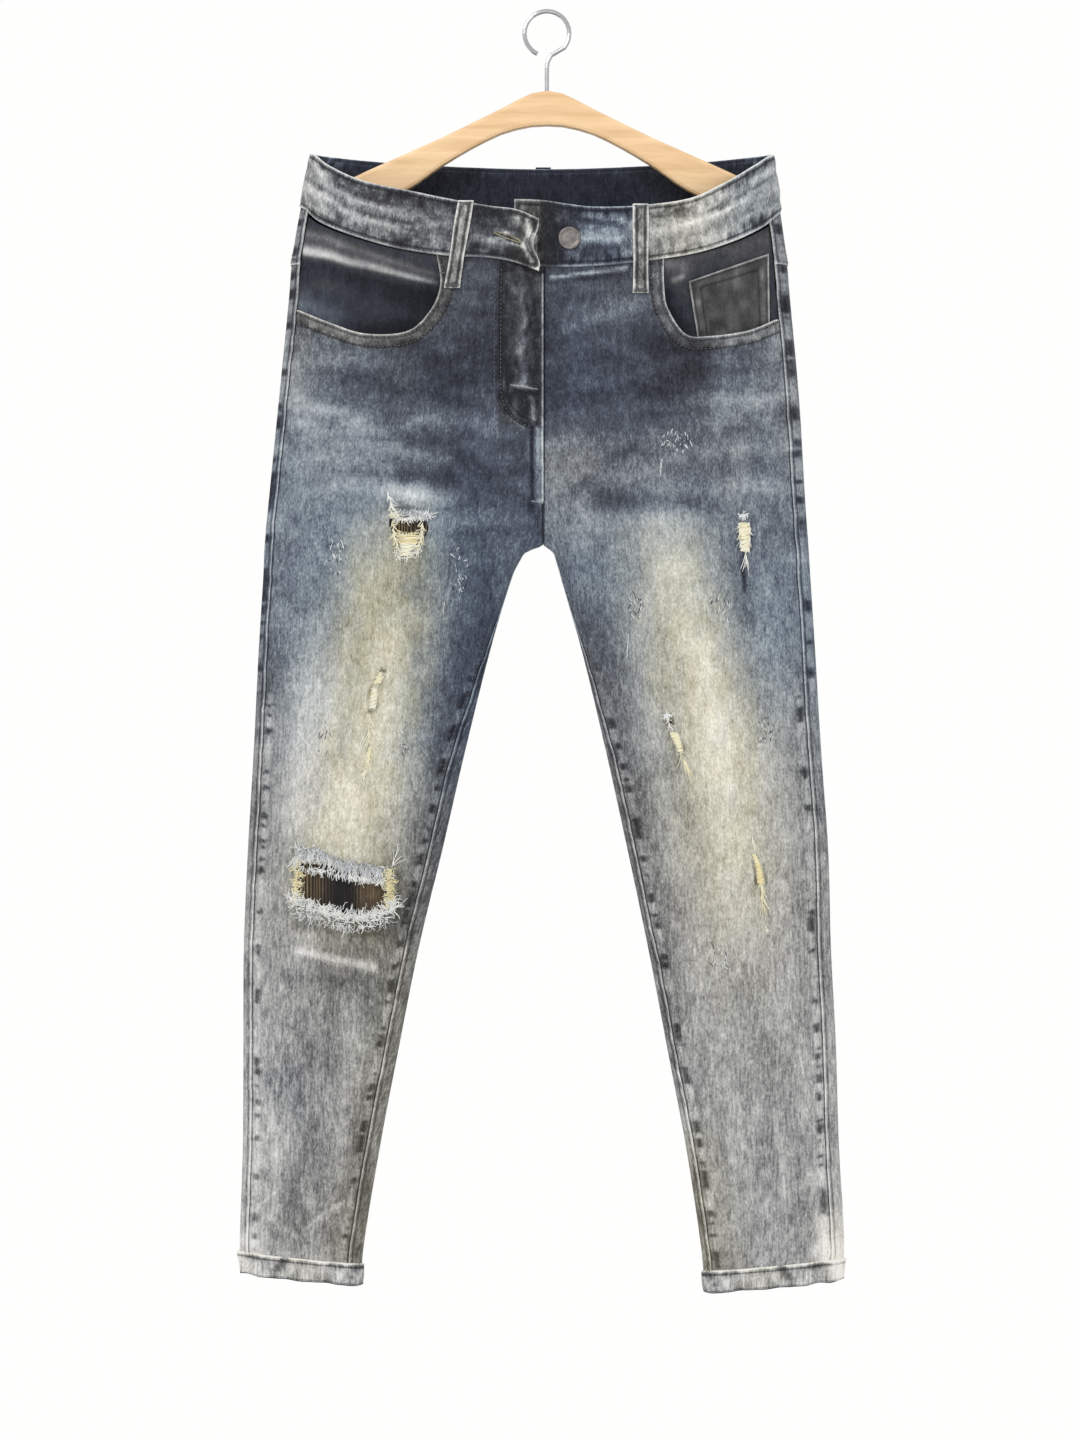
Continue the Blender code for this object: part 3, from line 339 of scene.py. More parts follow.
# Folds of the fly and the crotch seam: two ends, half-width, height
FLY_CREASES = table("tttttt", [
    (-195, -2320, -190, -2620, 22, 10), (-205, -2680, -185, -3060, 26, 11), (-290, -2400, -280, -3000, 20, -7),
    (-285, -3095, -80, -3130, 13, 12), (-270, -3140, -90, -3170, 18, -10), (-200, -3200, -210, -3360, 18, -9),
    (-260, -3210, -275, -3310, 16, 8), (-120, -3200, -110, -3400, 20, 10), (-78, -3450, -68, -4040, 24, 9),
    (-128, -3450, -116, -4040, 11, -10), (-130, -2230, -125, -2300, 20, -6)])


def relief(side, angle, z):
    """Height of creases, puckers and ripples above the plain form."""
    outer, inner = ring(side, z)[:2]
    x = x_at(side, angle, z)
    front = (angle < 0) | (angle > pi)
    steady = np.clip(np.abs(np.sin(angle)) / 0.30, 0.0, 1.0)
    high = np.where(front, stroke_sum(FRONT_CREASES, x, z), stroke_sum(BACK_CREASES, x, z))
    high = high + 0.0007 * grain(x, z * 0.45, 0.030, 3) + 0.0003 * grain(x, z * 0.5, 0.013, 5)
    off = np.abs(x - outer - INWARD[side] * OUTSEAM_INSET[side])
    bunched = seam_pucker(z, 11 if side == "right" else 12)
    high += np.where(front, 0.00085 * bunched * hump(off, 0.0075), 0.0)
    inset = INSEAM_INSET[side] * ease(z, *INSEAM_TURN)
    off_inner = np.abs(x - (inner - INWARD[side] * inset))
    bunched = seam_pucker(z, 21 if side == "right" else 22)
    leg = ease(z, CROTCH - 0.02, CROTCH - 0.09)
    high += np.where(front, 0.0009 * bunched * leg * hump(off_inner, 0.0085), 0.0)
    high += np.where(front & (side == "right"), 0.4, 1.0) * 0.0007 * bunched * (1 - leg) * hump(x - CENTRE, 0.008)
    if side == "right":
        on_fly = ease(x, -0.0390, -0.0360) * ease(z, -0.345, -0.338)
        fly = stroke_sum(FLY_CREASES, x, z) + 0.0010 * on_fly * (0.4 + 0.6 * grain(x * 1.6, z, 0.0065, 8))
        fly += 0.0011 * hump(x - CENTRE + 0.0012, 0.0020) * ease(z, -0.410, -0.400)
        high += np.where(front, fly, 0.0)
    else:
        dip = hump(x - CENTRE, 0.0030) * ease(z, -0.410, -0.400)
        high -= np.where(front, 0.0007 * dip, 0.0)
    ankle = hem_line(side, x, HEM_HEIGHT)
    roping = grain(x + 0.5 * z, 0.0 * x, 0.013, 31)
    high += 0.0008 * roping * hump(z - ankle, 0.011)
    return high * steady


def hem_line(side, x, lift=0.0):
    """Height of the hem's bottom edge at X places on a leg, or of a line above it."""
    low_outer, low_inner = HEM_BOTTOM[side]
    outer, inner = ring(side, np.array(ANKLE))[:2]
    share = np.clip((x - outer) / (inner - outer), 0.0, 1.0)
    return low_outer + (low_inner - low_outer) * share + lift


def cloth_spot(side, angle, z, rise=0.0):
    """Point on the creased cloth, moved out by a rise, and the direction facing out."""
    spot, out = skin_spot(side, angle, z)
    return spot + out * (relief(side, angle, z) + rise)[..., None], out


def front_spot(side, x, z, rise=0.0):
    """The same for X places on the front."""
    x, z = np.asarray(x, float), np.asarray(z, float)
    return cloth_spot(side, -angle_at(side, x, z), z, rise + 0.0 * x)


def band_angle(side, angle):
    """Angle round the waist of an angle on a side's section."""
    return np.degrees(angle) if side == "left" else 180 - np.degrees(angle)


def even_angles(side, z, start, end, columns):
    """Angles at heights, spaced evenly along the cloth between two angles, closer at seams."""
    fine = np.linspace(0.0, 1.0, 240)
    turns = start[:, None] + (end - start)[:, None] * fine[None, :]
    path = skin(side, turns, z[:, None] + 0.0 * turns)
    run = np.concatenate([np.zeros((len(z), 1)), np.cumsum(np.linalg.norm(np.diff(path, axis=1), axis=2), 1)], 1)
    even = np.linspace(0.0, 1.0, columns)
    even = even - 0.075 * np.sin(2 * pi * even)
    angles = np.stack([np.interp(even * length[-1], length, turn) for length, turn in zip(run, turns)])
    return angles, even[None, :] * run[:, -1:]


def curve_through(points, steps=8):
    """Smooth curve through a few points."""
    ends = [points[0], *points, points[-1]]
    found = []
    for before, start, end, after in zip(ends, ends[1:], ends[2:], ends[3:]):
        b, s, e, a = (np.array(p) for p in (before, start, end, after))
        for step in range(steps):
            t = step / steps
            found.append(s + 0.5 * t * ((e - b) + t * ((2 * b - 5 * s + 4 * e - a) + t * (3 * (s - e) + a - b))))
    return np.array(found + [np.array(points[-1])])


def rounded(corners, steps=8):
    """Closed smooth outline through its corners."""
    loop = [corners[-1], *corners, corners[0], corners[1]]
    return curve_through(loop, steps)[steps:-steps - 1]


def edge_reach(outline, x, z, closed=True):
    """Distance to an outline, below 0 inside it, and the outline's nearest points."""
    ends = np.roll(outline, -1, axis=0) if closed else outline[1:]
    starts = outline if closed else outline[:-1]
    best = np.full(x.shape, 1e9)
    near = np.zeros(x.shape + (2,))
    odd = np.zeros(x.shape, bool)
    for (x0, z0), (x1, z1) in zip(starts, ends):
        t = np.clip(((x - x0) * (x1 - x0) + (z - z0) * (z1 - z0)) / max((x1 - x0) ** 2 + (z1 - z0) ** 2, 1e-18), 0, 1)
        px, pz = x0 + t * (x1 - x0), z0 + t * (z1 - z0)
        far = np.hypot(x - px, z - pz)
        nearer = far < best
        best = np.where(nearer, far, best)
        near = np.where(nearer[..., None], np.stack([px, pz], -1), near)
        if closed and z0 != z1:
            odd ^= ((z0 > z) != (z1 > z)) & (x < x0 + (z - z0) * (x1 - x0) / (z1 - z0))
    return np.where(odd, -best, best), near


def grid_faces(rows, columns, kept=None):
    """Quads of a grid of points, as rows of four point numbers."""
    index = np.arange(rows * columns).reshape(rows, columns)
    quads = np.stack([index[:-1, :-1], index[:-1, 1:], index[1:, 1:], index[1:, :-1]], -1).reshape(-1, 4)
    return quads if kept is None else quads[kept.reshape(-1)]


def patch_grid(down, across, first=0.0):
    """Shares down and across a patch, and its quads."""
    v, u = np.meshgrid(np.linspace(0, 1, down), np.linspace(first, 1, across), indexing="ij")
    return v, u, grid_faces(down, across)


def cloth_mesh(name, points, faces, inside, masks, uv, materials):
    """Mesh of a piece of cloth: each face's material, masks on every point, and a flat UV."""
    mesh = bpy.data.meshes.new(name)
    mesh.from_pydata(points.tolist(), [], faces)
    for material in materials:
        mesh.materials.append(material)
    mesh.polygons.foreach_set("material_index", inside)
    for mask, values in masks.items():
        layer = mesh.attributes.new(mask, "FLOAT", "POINT")
        layer.data.foreach_set("value", np.asarray(values, float).reshape(-1).astype(np.float32))
    corners = np.zeros(len(mesh.loops), np.int32)
    mesh.loops.foreach_get("vertex_index", corners)
    layer = mesh.uv_layers.new(name="cloth")
    layer.data.foreach_set("uv", uv[corners].astype(np.float32).reshape(-1))
    mesh.shade_smooth()
    return mesh


def hung(mesh, node=None):
    """Object of a mesh on the one body and in the place of its plain piece."""
    made = bpy.data.objects.new(mesh.name, mesh)
    bpy.context.scene.collection.objects.link(made)
    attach(made, "root")
    if node:
        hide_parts(node)
    return made


def cloth_wall(name, outer, inner, quads, uv, masks, materials, node=None):
    """Closed wall of cloth from its outer and inner points, with its masks on every point."""
    used, quads = np.unique(quads, return_inverse=True)
    quads = quads.reshape(-1, 4)
    outer, inner, uv = outer.reshape(-1, 3)[used], inner.reshape(-1, 3)[used], uv.reshape(-1, 2)[used]
    count = len(used)
    a, b, c = outer[quads[:, 0]], outer[quads[:, 1]], outer[quads[:, 2]]
    inward = np.einsum("ij,ij->i", np.cross(b - a, c - a), outer[quads[:, 0]] - inner[quads[:, 0]]).sum() < 0
    if inward:
        quads = quads[:, ::-1]
    edges = np.concatenate([quads[:, [i, (i + 1) % 4]] for i in range(4)])
    lone = ~np.isin(edges[:, 0] * count + edges[:, 1], edges[:, 1] * count + edges[:, 0])
    rim = edges[lone]
    faces = np.concatenate([quads, quads[:, ::-1] + count,
                            np.stack([rim[:, 1], rim[:, 0], rim[:, 0] + count, rim[:, 1] + count], 1)])
    inside = np.zeros(len(faces), np.int32)
    inside[len(quads):2 * len(quads)] = len(materials) - 1
    masks = {mask: np.tile(np.asarray(values, float).reshape(-1)[used], 2) for mask, values in masks.items()}
    mesh = cloth_mesh(name, np.concatenate([outer, inner]), faces.tolist(), inside, masks, np.concatenate([uv, uv]),
                      materials)
    mesh.set_sharp_from_angle(angle=radians(62))
    return hung(mesh, node)


# Washed look of the fronts. Height, how pale at five places from the outer to the inner edge,
# how grey at the outer and at the inner edge
WASH = {
    "right": np.array(table("thhhhhhh", [
        (-2000, 42, 36, 28, 24, 26, 60, 30), (-2900, 50, 38, 18, 19, 26, 45, 5), (-3300, 44, 39, 31, 32, 31, 32, 5),
        (-3700, 39, 46, 32, 25, 29, 28, 0), (-4100, 45, 50, 60, 31, 33, 20, 0), (-4600, 41, 55, 59, 43, 34, 15, 0),
        (-5200, 38, 60, 71, 51, 28, 35, 0), (-5800, 50, 66, 79, 56, 26, 65, 5), (-6400, 57, 67, 76, 60, 32, 90, 45),
        (-7000, 57, 63, 72, 55, 34, 100, 80), (-7600, 66, 56, 49, 35, 46, 100, 100),
        (-8000, 59, 59, 47, 47, 43, 100, 100), (-8600, 64, 56, 51, 54, 43, 90, 100),
        (-9200, 73, 60, 49, 56, 46, 100, 100), (-9800, 66, 56, 53, 54, 44, 100, 100),
        (-10500, 82, 63, 64, 63, 43, 100, 100)])),
    "left": np.array(table("thhhhhhh", [
        (-2000, 44, 38, 30, 27, 25, 60, 20), (-2900, 41, 27, 14, 25, 24, 42, 0), (-3300, 46, 34, 27, 23, 30, 45, 0),
        (-3700, 45, 38, 36, 42, 49, 35, 48), (-4050, 41, 46, 42, 36, 50, 25, 38), (-4300, 42, 46, 69, 53, 48, 15, 32),
        (-4600, 43, 42, 80, 58, 44, 6, 18), (-5200, 45, 56, 79, 65, 44, 10, 50), (-5800, 54, 65, 86, 73, 43, 50, 80),
        (-6400, 48, 66, 86, 67, 45, 80, 100), (-7000, 54, 66, 79, 70, 43, 95, 100),
        (-7600, 57, 68, 74, 67, 45, 100, 100), (-8000, 59, 70, 64, 66, 50, 100, 100),
        (-8600, 66, 63, 61, 56, 48, 100, 100), (-9200, 67, 54, 62, 55, 63, 100, 100),
        (-9800, 75, 55, 55, 53, 45, 100, 100), (-10500, 90, 68, 64, 51, 49, 100, 100)])),
}
WASH_PLACES = (0.08, 0.28, 0.50, 0.72, 0.92)
# Cream of the sanded thighs. Height, middle, half-width, strength
CREAM = {
    "right": np.array(table("ttth", [
        (-3950, -1050, 240, 0), (-4200, -1280, 260, 45), (-4500, -1280, 360, 80), (-5200, -1360, 400, 100),
        (-6200, -1520, 420, 100), (-6900, -1640, 440, 95), (-7500, -1600, 460, 55), (-8000, -1450, 500, 15),
        (-9000, -1600, 500, 0)])),
    "left": np.array(table("ttth", [
        (-4100, 950, 300, 0), (-4280, 1000, 340, 35), (-4600, 1040, 360, 65), (-5200, 1140, 400, 90),
        (-6000, 1380, 440, 90), (-7000, 1500, 440, 85), (-7600, 1540, 420, 46), (-8300, 1560, 420, 14),
        (-9000, 1600, 500, 0)])),
}
# Bands rubbed pale or left dark on the fronts, and at the end painted shade and shadows at
# the knee, the thigh hole and the slits: two ends, half-width, change
RUBBED_AND_SHADED = table("ttttth", [
    (-2140, -3180, -1500, -3450, 70, 9), (-2050, -3380, -1100, -3640, 80, 10), (-2180, -3620, -1300, -3770, 80, 10),
    (-2000, -3880, -750, -4010, 90, 12), (-1800, -3520, -900, -3520, 60, -7), (-1900, -3780, -800, -3860, 60, -10),
    (-1600, -3000, -600, -3220, 90, -10), (-880, -2900, -460, -3000, 200, -5), (-1000, -3300, -450, -3400, 70, 7),
    (-900, -3950, -300, -4030, 100, -5), (200, -2630, 840, -2410, 100, 17), (220, -2460, 600, -2380, 70, 5),
    (200, -2820, 600, -2760, 90, 10), (300, -2840, 1300, -2760, 90, -9), (700, -3020, 1300, -2970, 100, -7),
    (300, -3180, 1000, -3160, 80, -8), (1200, -3220, 1950, -3160, 100, 12), (1500, -3500, 2050, -3460, 60, -6),
    (200, -3520, 1700, -3560, 80, 6), (300, -3820, 1800, -3880, 70, 6), (400, -4000, 1200, -4040, 60, -7),
    (200, -4280, 600, -4240, 70, 6), (-2050, -7730, -1430, -7860, 32, 22), (-2000, -7620, -1450, -7680, 70, 6),
    (-1760, -8000, -1500, -8060, 130, -7), (-1950, -8600, -1980, -9050, 30, 7), (-2260, -9050, -2200, -9600, 22, 10),
    (-2200, -9620, -2280, -9920, 22, 10), (-2280, -9920, -2050, -10080, 22, 9), (-2000, -9600, -1920, -9950, 20, 8),
    (-1964, -9997, -1832, -9880, 11, 17), (-1832, -9880, -1671, -9792, 11, 17), (-2462, -9778, -2360, -9822, 10, 14),
    (-2360, -9822, -2242, -9719, 10, 14), (-2242, -9719, -2242, -9602, 10, 10), (-2081, -8416, -2184, -8548, 10, 13),
    (-2184, -8548, -2227, -8929, 11, 12), (-1630, -10000, -1590, -10280, 70, 5), (1370, -9600, 1390, -10280, 80, 10),
    (1500, -9150, 1580, -9900, 22, 8), (1710, -9000, 1670, -9720, 22, 7), (1860, -9050, 1960, -9750, 22, 8),
    (2040, -9300, 1780, -9860, 24, 7), (2220, -9850, 2260, -10300, 100, 5), (1720, -9750, 1500, -10050, 100, 5),
    (-1240, -3980, -920, -4040, 80, 12), (-2470, -10140, -2440, -10360, 80, 20), (2380, -10100, 2410, -10360, 100,
     15), (-1580, -10200, -1610, -10360, 60, -11), (1480, -10220, 1500, -10360, 80, -7),
    # The rest: a pale line with painted shade below it at the left front's top, painted shade below the knee hole's
    # fringe and at its right side, and painted shadows in and round the slits and the thigh hole
    (30, -2222, 656, -2139, 15, 42), (60, -2262, 656, -2186, 22, -12), (-2050, -7520, -1300, -7545, 60, -12),
    (-1235, -7120, -1225, -7450, 40, -10), (1607, -4477, 1615, -4764, 13, -42), (1560, -4210, 1585, -4440, 12, -20),
    (1674, -4210, 1668, -4440, 12, -20), (1003, -5825, 1014, -5862, 24, -62), (1000, -5935, 1048, -6060, 10, -22),
    (1085, -5950, 1130, -6080, 10, -18), (1720, -7135, 1724, -7165, 16, -52), (1776, -7242, 1778, -7268, 15, -52),
    (1690, -6990, 1718, -7130, 10, -22), (1778, -7000, 1800, -7180, 10, -18), (-1352, -5425, -1335, -5430, 19, -50),
    (-1345, -5485, -1375, -5560, 10, -24), (-1398, -5480, -1450, -5580, 11, -24),
    (-1380, -5570, -1398, -5730, 10, -24), (-1450, -5590, -1462, -5720, 10, -20),
    (-1452, -5752, -1443, -5766, 17, -45), (-1474, -5840, -1466, -6100, 9, -18), (-1512, -6270, -1506, -6282, 18,
     -50), (-990, -4190, -985, -4320, 28, -30), (-1272, -4150, -1245, -4158, 16, -35),
    (-1220, -4095, -1080, -4105, 14, -40), (-1180, -4500, -1060, -4460, 20, -20)])
# Painted highlights on the fly's raised folds and painted shade in its hollows, with worn
# and dark marks: the same columns
FLY_LIGHT_AND_WEAR = table("ttttth", [
    (-215, -2280, -205, -2620, 48, 12), (-215, -2680, -190, -3080, 56, 17), (-290, -2300, -290, -3020, 30, 6),
    (-98, -2440, -98, -2520, 22, -24), (-95, -2590, -95, -2660, 24, -26), (-95, -2740, -92, -2810, 22, -24),
    (-85, -2870, -82, -2960, 22, -22), (-285, -3095, -80, -3130, 12, 26), (-270, -3140, -90, -3172, 16, -16),
    (-335, -2980, -300, -3060, 24, -14), (-260, -3210, -275, -3310, 20, 12), (-200, -3180, -208, -3340, 20, -22),
    (-118, -3190, -105, -3400, 24, 20), (-300, -3365, -190, -3440, 18, 18), (-78, -3450, -70, -3700, 28, 22),
    (-70, -3740, -62, -4000, 30, 6), (-130, -3450, -117, -4030, 12, -28), (-160, -3520, -150, -3700, 20, 10),
    (-120, -4040, -10, -4046, 9, 30), (-110, -4080, -70, -4300, 30, -14)])


def fly_off(x, z):
    """Distance to the fly's curved stitching, above 0 towards the centre."""
    line = curve_through(FLY_LINE, 6)
    far, near = edge_reach(line, x, z, False)
    outside = (x < near[..., 0]) | (z < near[..., 1])
    return np.where(outside, -far, far)


def wash_read(side, share, z):
    """How pale the front is at shares of its width from the outer to the inner edge."""
    levels = np.stack([table_read(WASH[side], z, column) for column in range(1, 6)], -1)
    place = np.interp(share, WASH_PLACES, range(5))
    low = np.clip(np.floor(place).astype(int), 0, 3)
    part = ease(place - low, 0.0, 1.0)
    at_low = np.take_along_axis(levels, low[..., None], -1)[..., 0]
    return at_low + (np.take_along_axis(levels, low[..., None] + 1, -1)[..., 0] - at_low) * part


def seam_dabs(z, off, seed):
    """Dark dabs just inside a seam, where its bunches stood hollow in the wash."""
    spaced = ease(grain(z, 0.0 * z, 0.0072, seed) + 0.6 * grain(z, 0.0 * z, 0.0031, seed + 3), 0.14, 0.46)
    return (spaced - 0.30 * (1 - spaced)) * hump(off - 0.0050, 0.0028)


def wash_masks(side, angle, z):
    """How pale, how grey and how cream the cloth is on either face of a side."""
    outer, inner = ring(side, z)[:2]
    x = x_at(side, angle, z)
    front = (angle < 0) | (angle > pi)
    share = np.clip((x - outer) / (inner - outer), 0.0, 1.0)
    pale = wash_read(side, share, z)
    calm = 0.5 * (table_read(WASH[side], z, 1) * (1 - share) + table_read(WASH[side], z, 5) * share) + 0.23
    seat = hump(share - 0.5, 0.32) * hump(z + 0.36, 0.085)
    behind = np.sin(pi * share) ** 0.5
    pale = np.where(front, pale, pale + (calm + 0.14 * seat - pale) * behind)
    # Rubbed bands, with painted shade and shadows round the knee, the thigh hole and the slits
    pale += np.where(front, stroke_sum(RUBBED_AND_SHADED, x, z), 0.0)
    if side == "right":
        fly = fly_off(x, z)
        spotted = ease(grain(x * 0.2, z, 0.0046, 53), 0.05, 0.55) * hump(fly - 0.0008, 0.0036)
        on_fly = ease(x, -0.0420, -0.0370) * ease(z, -0.350, -0.338)
        spotted = 0.34 * spotted + on_fly * (0.15 - 0.12 * grain(x, z * 0.7, 0.0036, 58))
        # Painted highlights and shade on the fly's folds, with its worn marks and dark specks by the stitching
        pale += np.where(front, stroke_sum(FLY_LIGHT_AND_WEAR, x, z) - spotted, 0.0)
    middle, wide, strong = (table_read(CREAM[side], z, column) for column in (1, 2, 3))
    ragged = 1 + 0.22 * grain(x, z * 0.5, 0.012, 41) + 0.18 * grain(x, z * 0.4, 0.005, 42)
    cream = np.clip(strong, 0, 1) * np.exp(-np.abs((x - middle) / wide) ** 2.4) * ragged
    cream = np.where(front, cream, 0.35 * cream)
    if side == "right":
        cream += 0.30 * ease(z, -0.74, -0.86) * ease(share, 0.55, 0.95) + 0.15 * ease(z, -0.92, -1.02) * share
    else:
        cream += (0.50 * ease(z, -0.86, -0.98) * ease(share, 0.55, 1.0)
                  + 0.50 * ease(z, -0.97, -1.02) * ease(share, 0.3, 0.0))
    pale += 0.035 * grain(x, z * 0.8, 0.016, 43) + 0.035 * grain(x, z * 0.4, 0.0065, 44)
    hips = ease(z, -0.50, -0.30)
    pale += hips * (0.045 * grain(x * 0.35, z, 0.010, 48) + 0.050 * grain(x * 0.25, z, 0.0042, 49))
    lower = ease(z, -0.68, -0.80)
    pale += 0.035 * lower * grain(x, z * 0.12, 0.0045, 46)
    # Paler on raised creases and darker in their hollows: the creases' wear together with painted light and shade
    pale += np.clip(relief(side, angle, z) / 0.0011, -1, 1) * 0.11
    seam = np.abs(x - outer) - OUTSEAM_INSET[side]
    dark = seam_dabs(z, np.where(z > -0.56, -0.8 * seam, seam), 11 if side == "right" else 12)
    inset = INSEAM_INSET[side] * ease(z, *INSEAM_TURN)
    on_leg = ease(z, CROTCH - 0.06, CROTCH - 0.14)
    dark = dark + seam_dabs(z, np.abs(x - inner) - inset, 21 if side == "right" else 22) * on_leg
    pale -= 0.33 * np.where(front, dark, 0.0)
    grey = table_read(WASH[side], z, 6) * (1 - share) + table_read(WASH[side], z, 7) * share
    grey = grey + 0.12 * grain(x, z * 0.4, 0.03, 45) + 0.13 * hips
    meet = np.where(front, 0.0, ease(share, 0.55, 1.0) * ease(z, CROTCH - 0.05, CROTCH + 0.03))
    pale += (0.36 + 0.05 * grain(x, z, 0.016, 43) - pale) * meet
    pale -= 0.20 * meet * hump(x - CENTRE, 0.0016)
    grey += (0.45 - grey) * meet
    if side == "right":
        grey += 0.35 * np.where(front, on_fly, 0.0)
    return np.clip(pale, 0.02, 1.0), np.clip(grey, 0.0, 1.0), np.clip(cream, 0.0, 1.0)


def add_node(tree, kind, inputs=None, **settings):
    """New node with its settings. Inputs are given as values or as sockets to link."""
    made = tree.nodes.new(kind)
    for name, value in settings.items():
        setattr(made, name, value)
    for name, value in (inputs or {}).items():
        if isinstance(value, bpy.types.NodeSocket):
            tree.links.new(value, made.inputs[name])
        else:
            made.inputs[name].default_value = value
    return made


def make_group(name, inputs, outputs, tree="ShaderNodeTree"):
    """Empty node group with named sockets: name, socket type and value."""
    group = bpy.data.node_groups.new(name, tree)
    for socket, kind, value in inputs:
        made = group.interface.new_socket(socket, in_out="INPUT", socket_type="NodeSocket" + kind)
        if value is not None:
            made.default_value = value
    for socket, kind in outputs:
        group.interface.new_socket(socket, in_out="OUTPUT", socket_type="NodeSocket" + kind)
    return group, group.nodes.new("NodeGroupInput"), group.nodes.new("NodeGroupOutput")


def new_material(name, **finish):
    """Material with its tree and shader. The finish names the shader's inputs, with _ for a space."""
    material = bpy.data.materials.new(name)
    material.use_nodes = True
    shader = material.node_tree.nodes["Principled BSDF"]
    for socket, value in finish.items():
        shader.inputs[socket.replace("_", " ")].default_value = value
    return material, material.node_tree, shader


def ramp_of(tree, tone, stops):
    """Colour by a tone. Stops: place and linear colour."""
    ramp = add_node(tree, "ShaderNodeValToRGB", {"Fac": tone})
    while len(ramp.color_ramp.elements) < len(stops):
        ramp.color_ramp.elements.new(0.5)
    for element, (place, colour) in zip(ramp.color_ramp.elements, stops):
        element.position = place
        element.color = (*colour, 1.0)
    return ramp.outputs["Color"]


def coloured(name, tone_of, stops, **finish):
    """Material coloured along stops by a tone, which a function makes in its tree."""
    material, tree, shader = new_material(name, **finish)
    tree.links.new(ramp_of(tree, tone_of(tree), stops), shader.inputs["Base Color"])
    return material


def clouds_of(tree, **values):
    """Soft clouds on the piece's own coordinates. Gives their strength."""
    place = add_node(tree, "ShaderNodeTexCoord")
    return add_node(tree, "ShaderNodeTexNoise", {**values, "Vector": place.outputs["Object"]}).outputs["Fac"]


def woven_of(tree):
    """Denim weave on the cloth's own UV."""
    place = add_node(tree, "ShaderNodeUVMap", uv_map="cloth")
    return add_node(tree, "ShaderNodeGroup", {"Place": place.outputs[0]}, node_tree=denim_weave)


def math_of(tree, operation, first, second=None, third=None, clamp=False):
    """Math node from sockets or numbers. Gives its output."""
    values = {index: value for index, value in enumerate((first, second, third)) if value is not None}
    return add_node(tree, "ShaderNodeMath", values, operation=operation, use_clamp=clamp).outputs[0]


def weave_group():
    """Twill lines, uneven yarns and fine heathering of denim, on the cloth's own UV in metres."""
    group, start, end = make_group(
        "denim weave",
        [("Place", "Vector", None), ("Rib Width", "Float", 0.0009), ("Yarn Stretch", "Float", 0.42)],
        [("Twill", "Float"), ("Yarn", "Float"), ("Heather", "Float"), ("Slub", "Float")])
    split = add_node(group, "ShaderNodeSeparateXYZ", {0: start.outputs["Place"]})
    u, v = split.outputs[0], split.outputs[1]
    diagonal = math_of(group, "ADD", u, math_of(group, "MULTIPLY", v, 0.6))
    turns = math_of(group, "MULTIPLY", math_of(group, "DIVIDE", diagonal, start.outputs["Rib Width"]), 2 * pi)
    group.links.new(math_of(group, "MULTIPLY_ADD", math_of(group, "SINE", turns), 0.5, 0.5), end.inputs["Twill"])
    place = add_node(group, "ShaderNodeCombineXYZ", {
        0: u, 1: math_of(group, "MULTIPLY", v, start.outputs["Yarn Stretch"])})
    for output, scale, detail, roughness in (("Yarn", 230.0, 3.0, 0.8), ("Heather", 850.0, 1.0, 0.6)):
        cloud = add_node(group, "ShaderNodeTexNoise", {
            "Scale": scale, "Detail": detail, "Roughness": roughness, "Vector": place.outputs[0]})
        group.links.new(cloud.outputs["Fac"], end.inputs[output])
    long = add_node(group, "ShaderNodeCombineXYZ", {0: u, 1: math_of(group, "MULTIPLY", v, 0.15)})
    streak = add_node(group, "ShaderNodeTexNoise", {"Scale": 520.0, "Detail": 2.0, "Vector": long.outputs[0]})
    group.links.new(streak.outputs["Fac"], end.inputs["Slub"])
    return group


def ramp_group(name, stops):
    """Colours by how pale the cloth is."""
    group, start, end = make_group(name, [("Pale", "Float", 0.5)], [("Colour", "Color")])
    group.links.new(ramp_of(group, start.outputs["Pale"], stops), end.inputs["Colour"])
    return group


denim_weave = weave_group()
indigo_wash = ramp_group("indigo wash", [
    (0.00, (0.010, 0.012, 0.021)), (0.20, (0.037, 0.046, 0.069)), (0.36, (0.080, 0.101, 0.142)),
    (0.52, (0.193, 0.242, 0.290)), (0.70, (0.384, 0.442, 0.485)), (1.00, (0.770, 0.815, 0.840))])
grey_wash = ramp_group("grey wash", [
    (0.00, (0.014, 0.014, 0.016)), (0.20, (0.047, 0.047, 0.050)), (0.36, (0.100, 0.100, 0.104)),
    (0.52, (0.234, 0.235, 0.236)), (0.70, (0.436, 0.436, 0.428)), (1.00, (0.815, 0.812, 0.790))])
cream_wash = ramp_group("cream wash", [
    (0.00, (0.050, 0.046, 0.026)), (0.30, (0.130, 0.120, 0.072)), (0.50, (0.255, 0.240, 0.155)),
    (0.70, (0.470, 0.448, 0.335)), (1.00, (0.850, 0.825, 0.690))])


def attribute_of(tree, name):
    """One of the cloth's masks, by its name."""
    return add_node(tree, "ShaderNodeAttribute", attribute_name=name).outputs["Fac"]


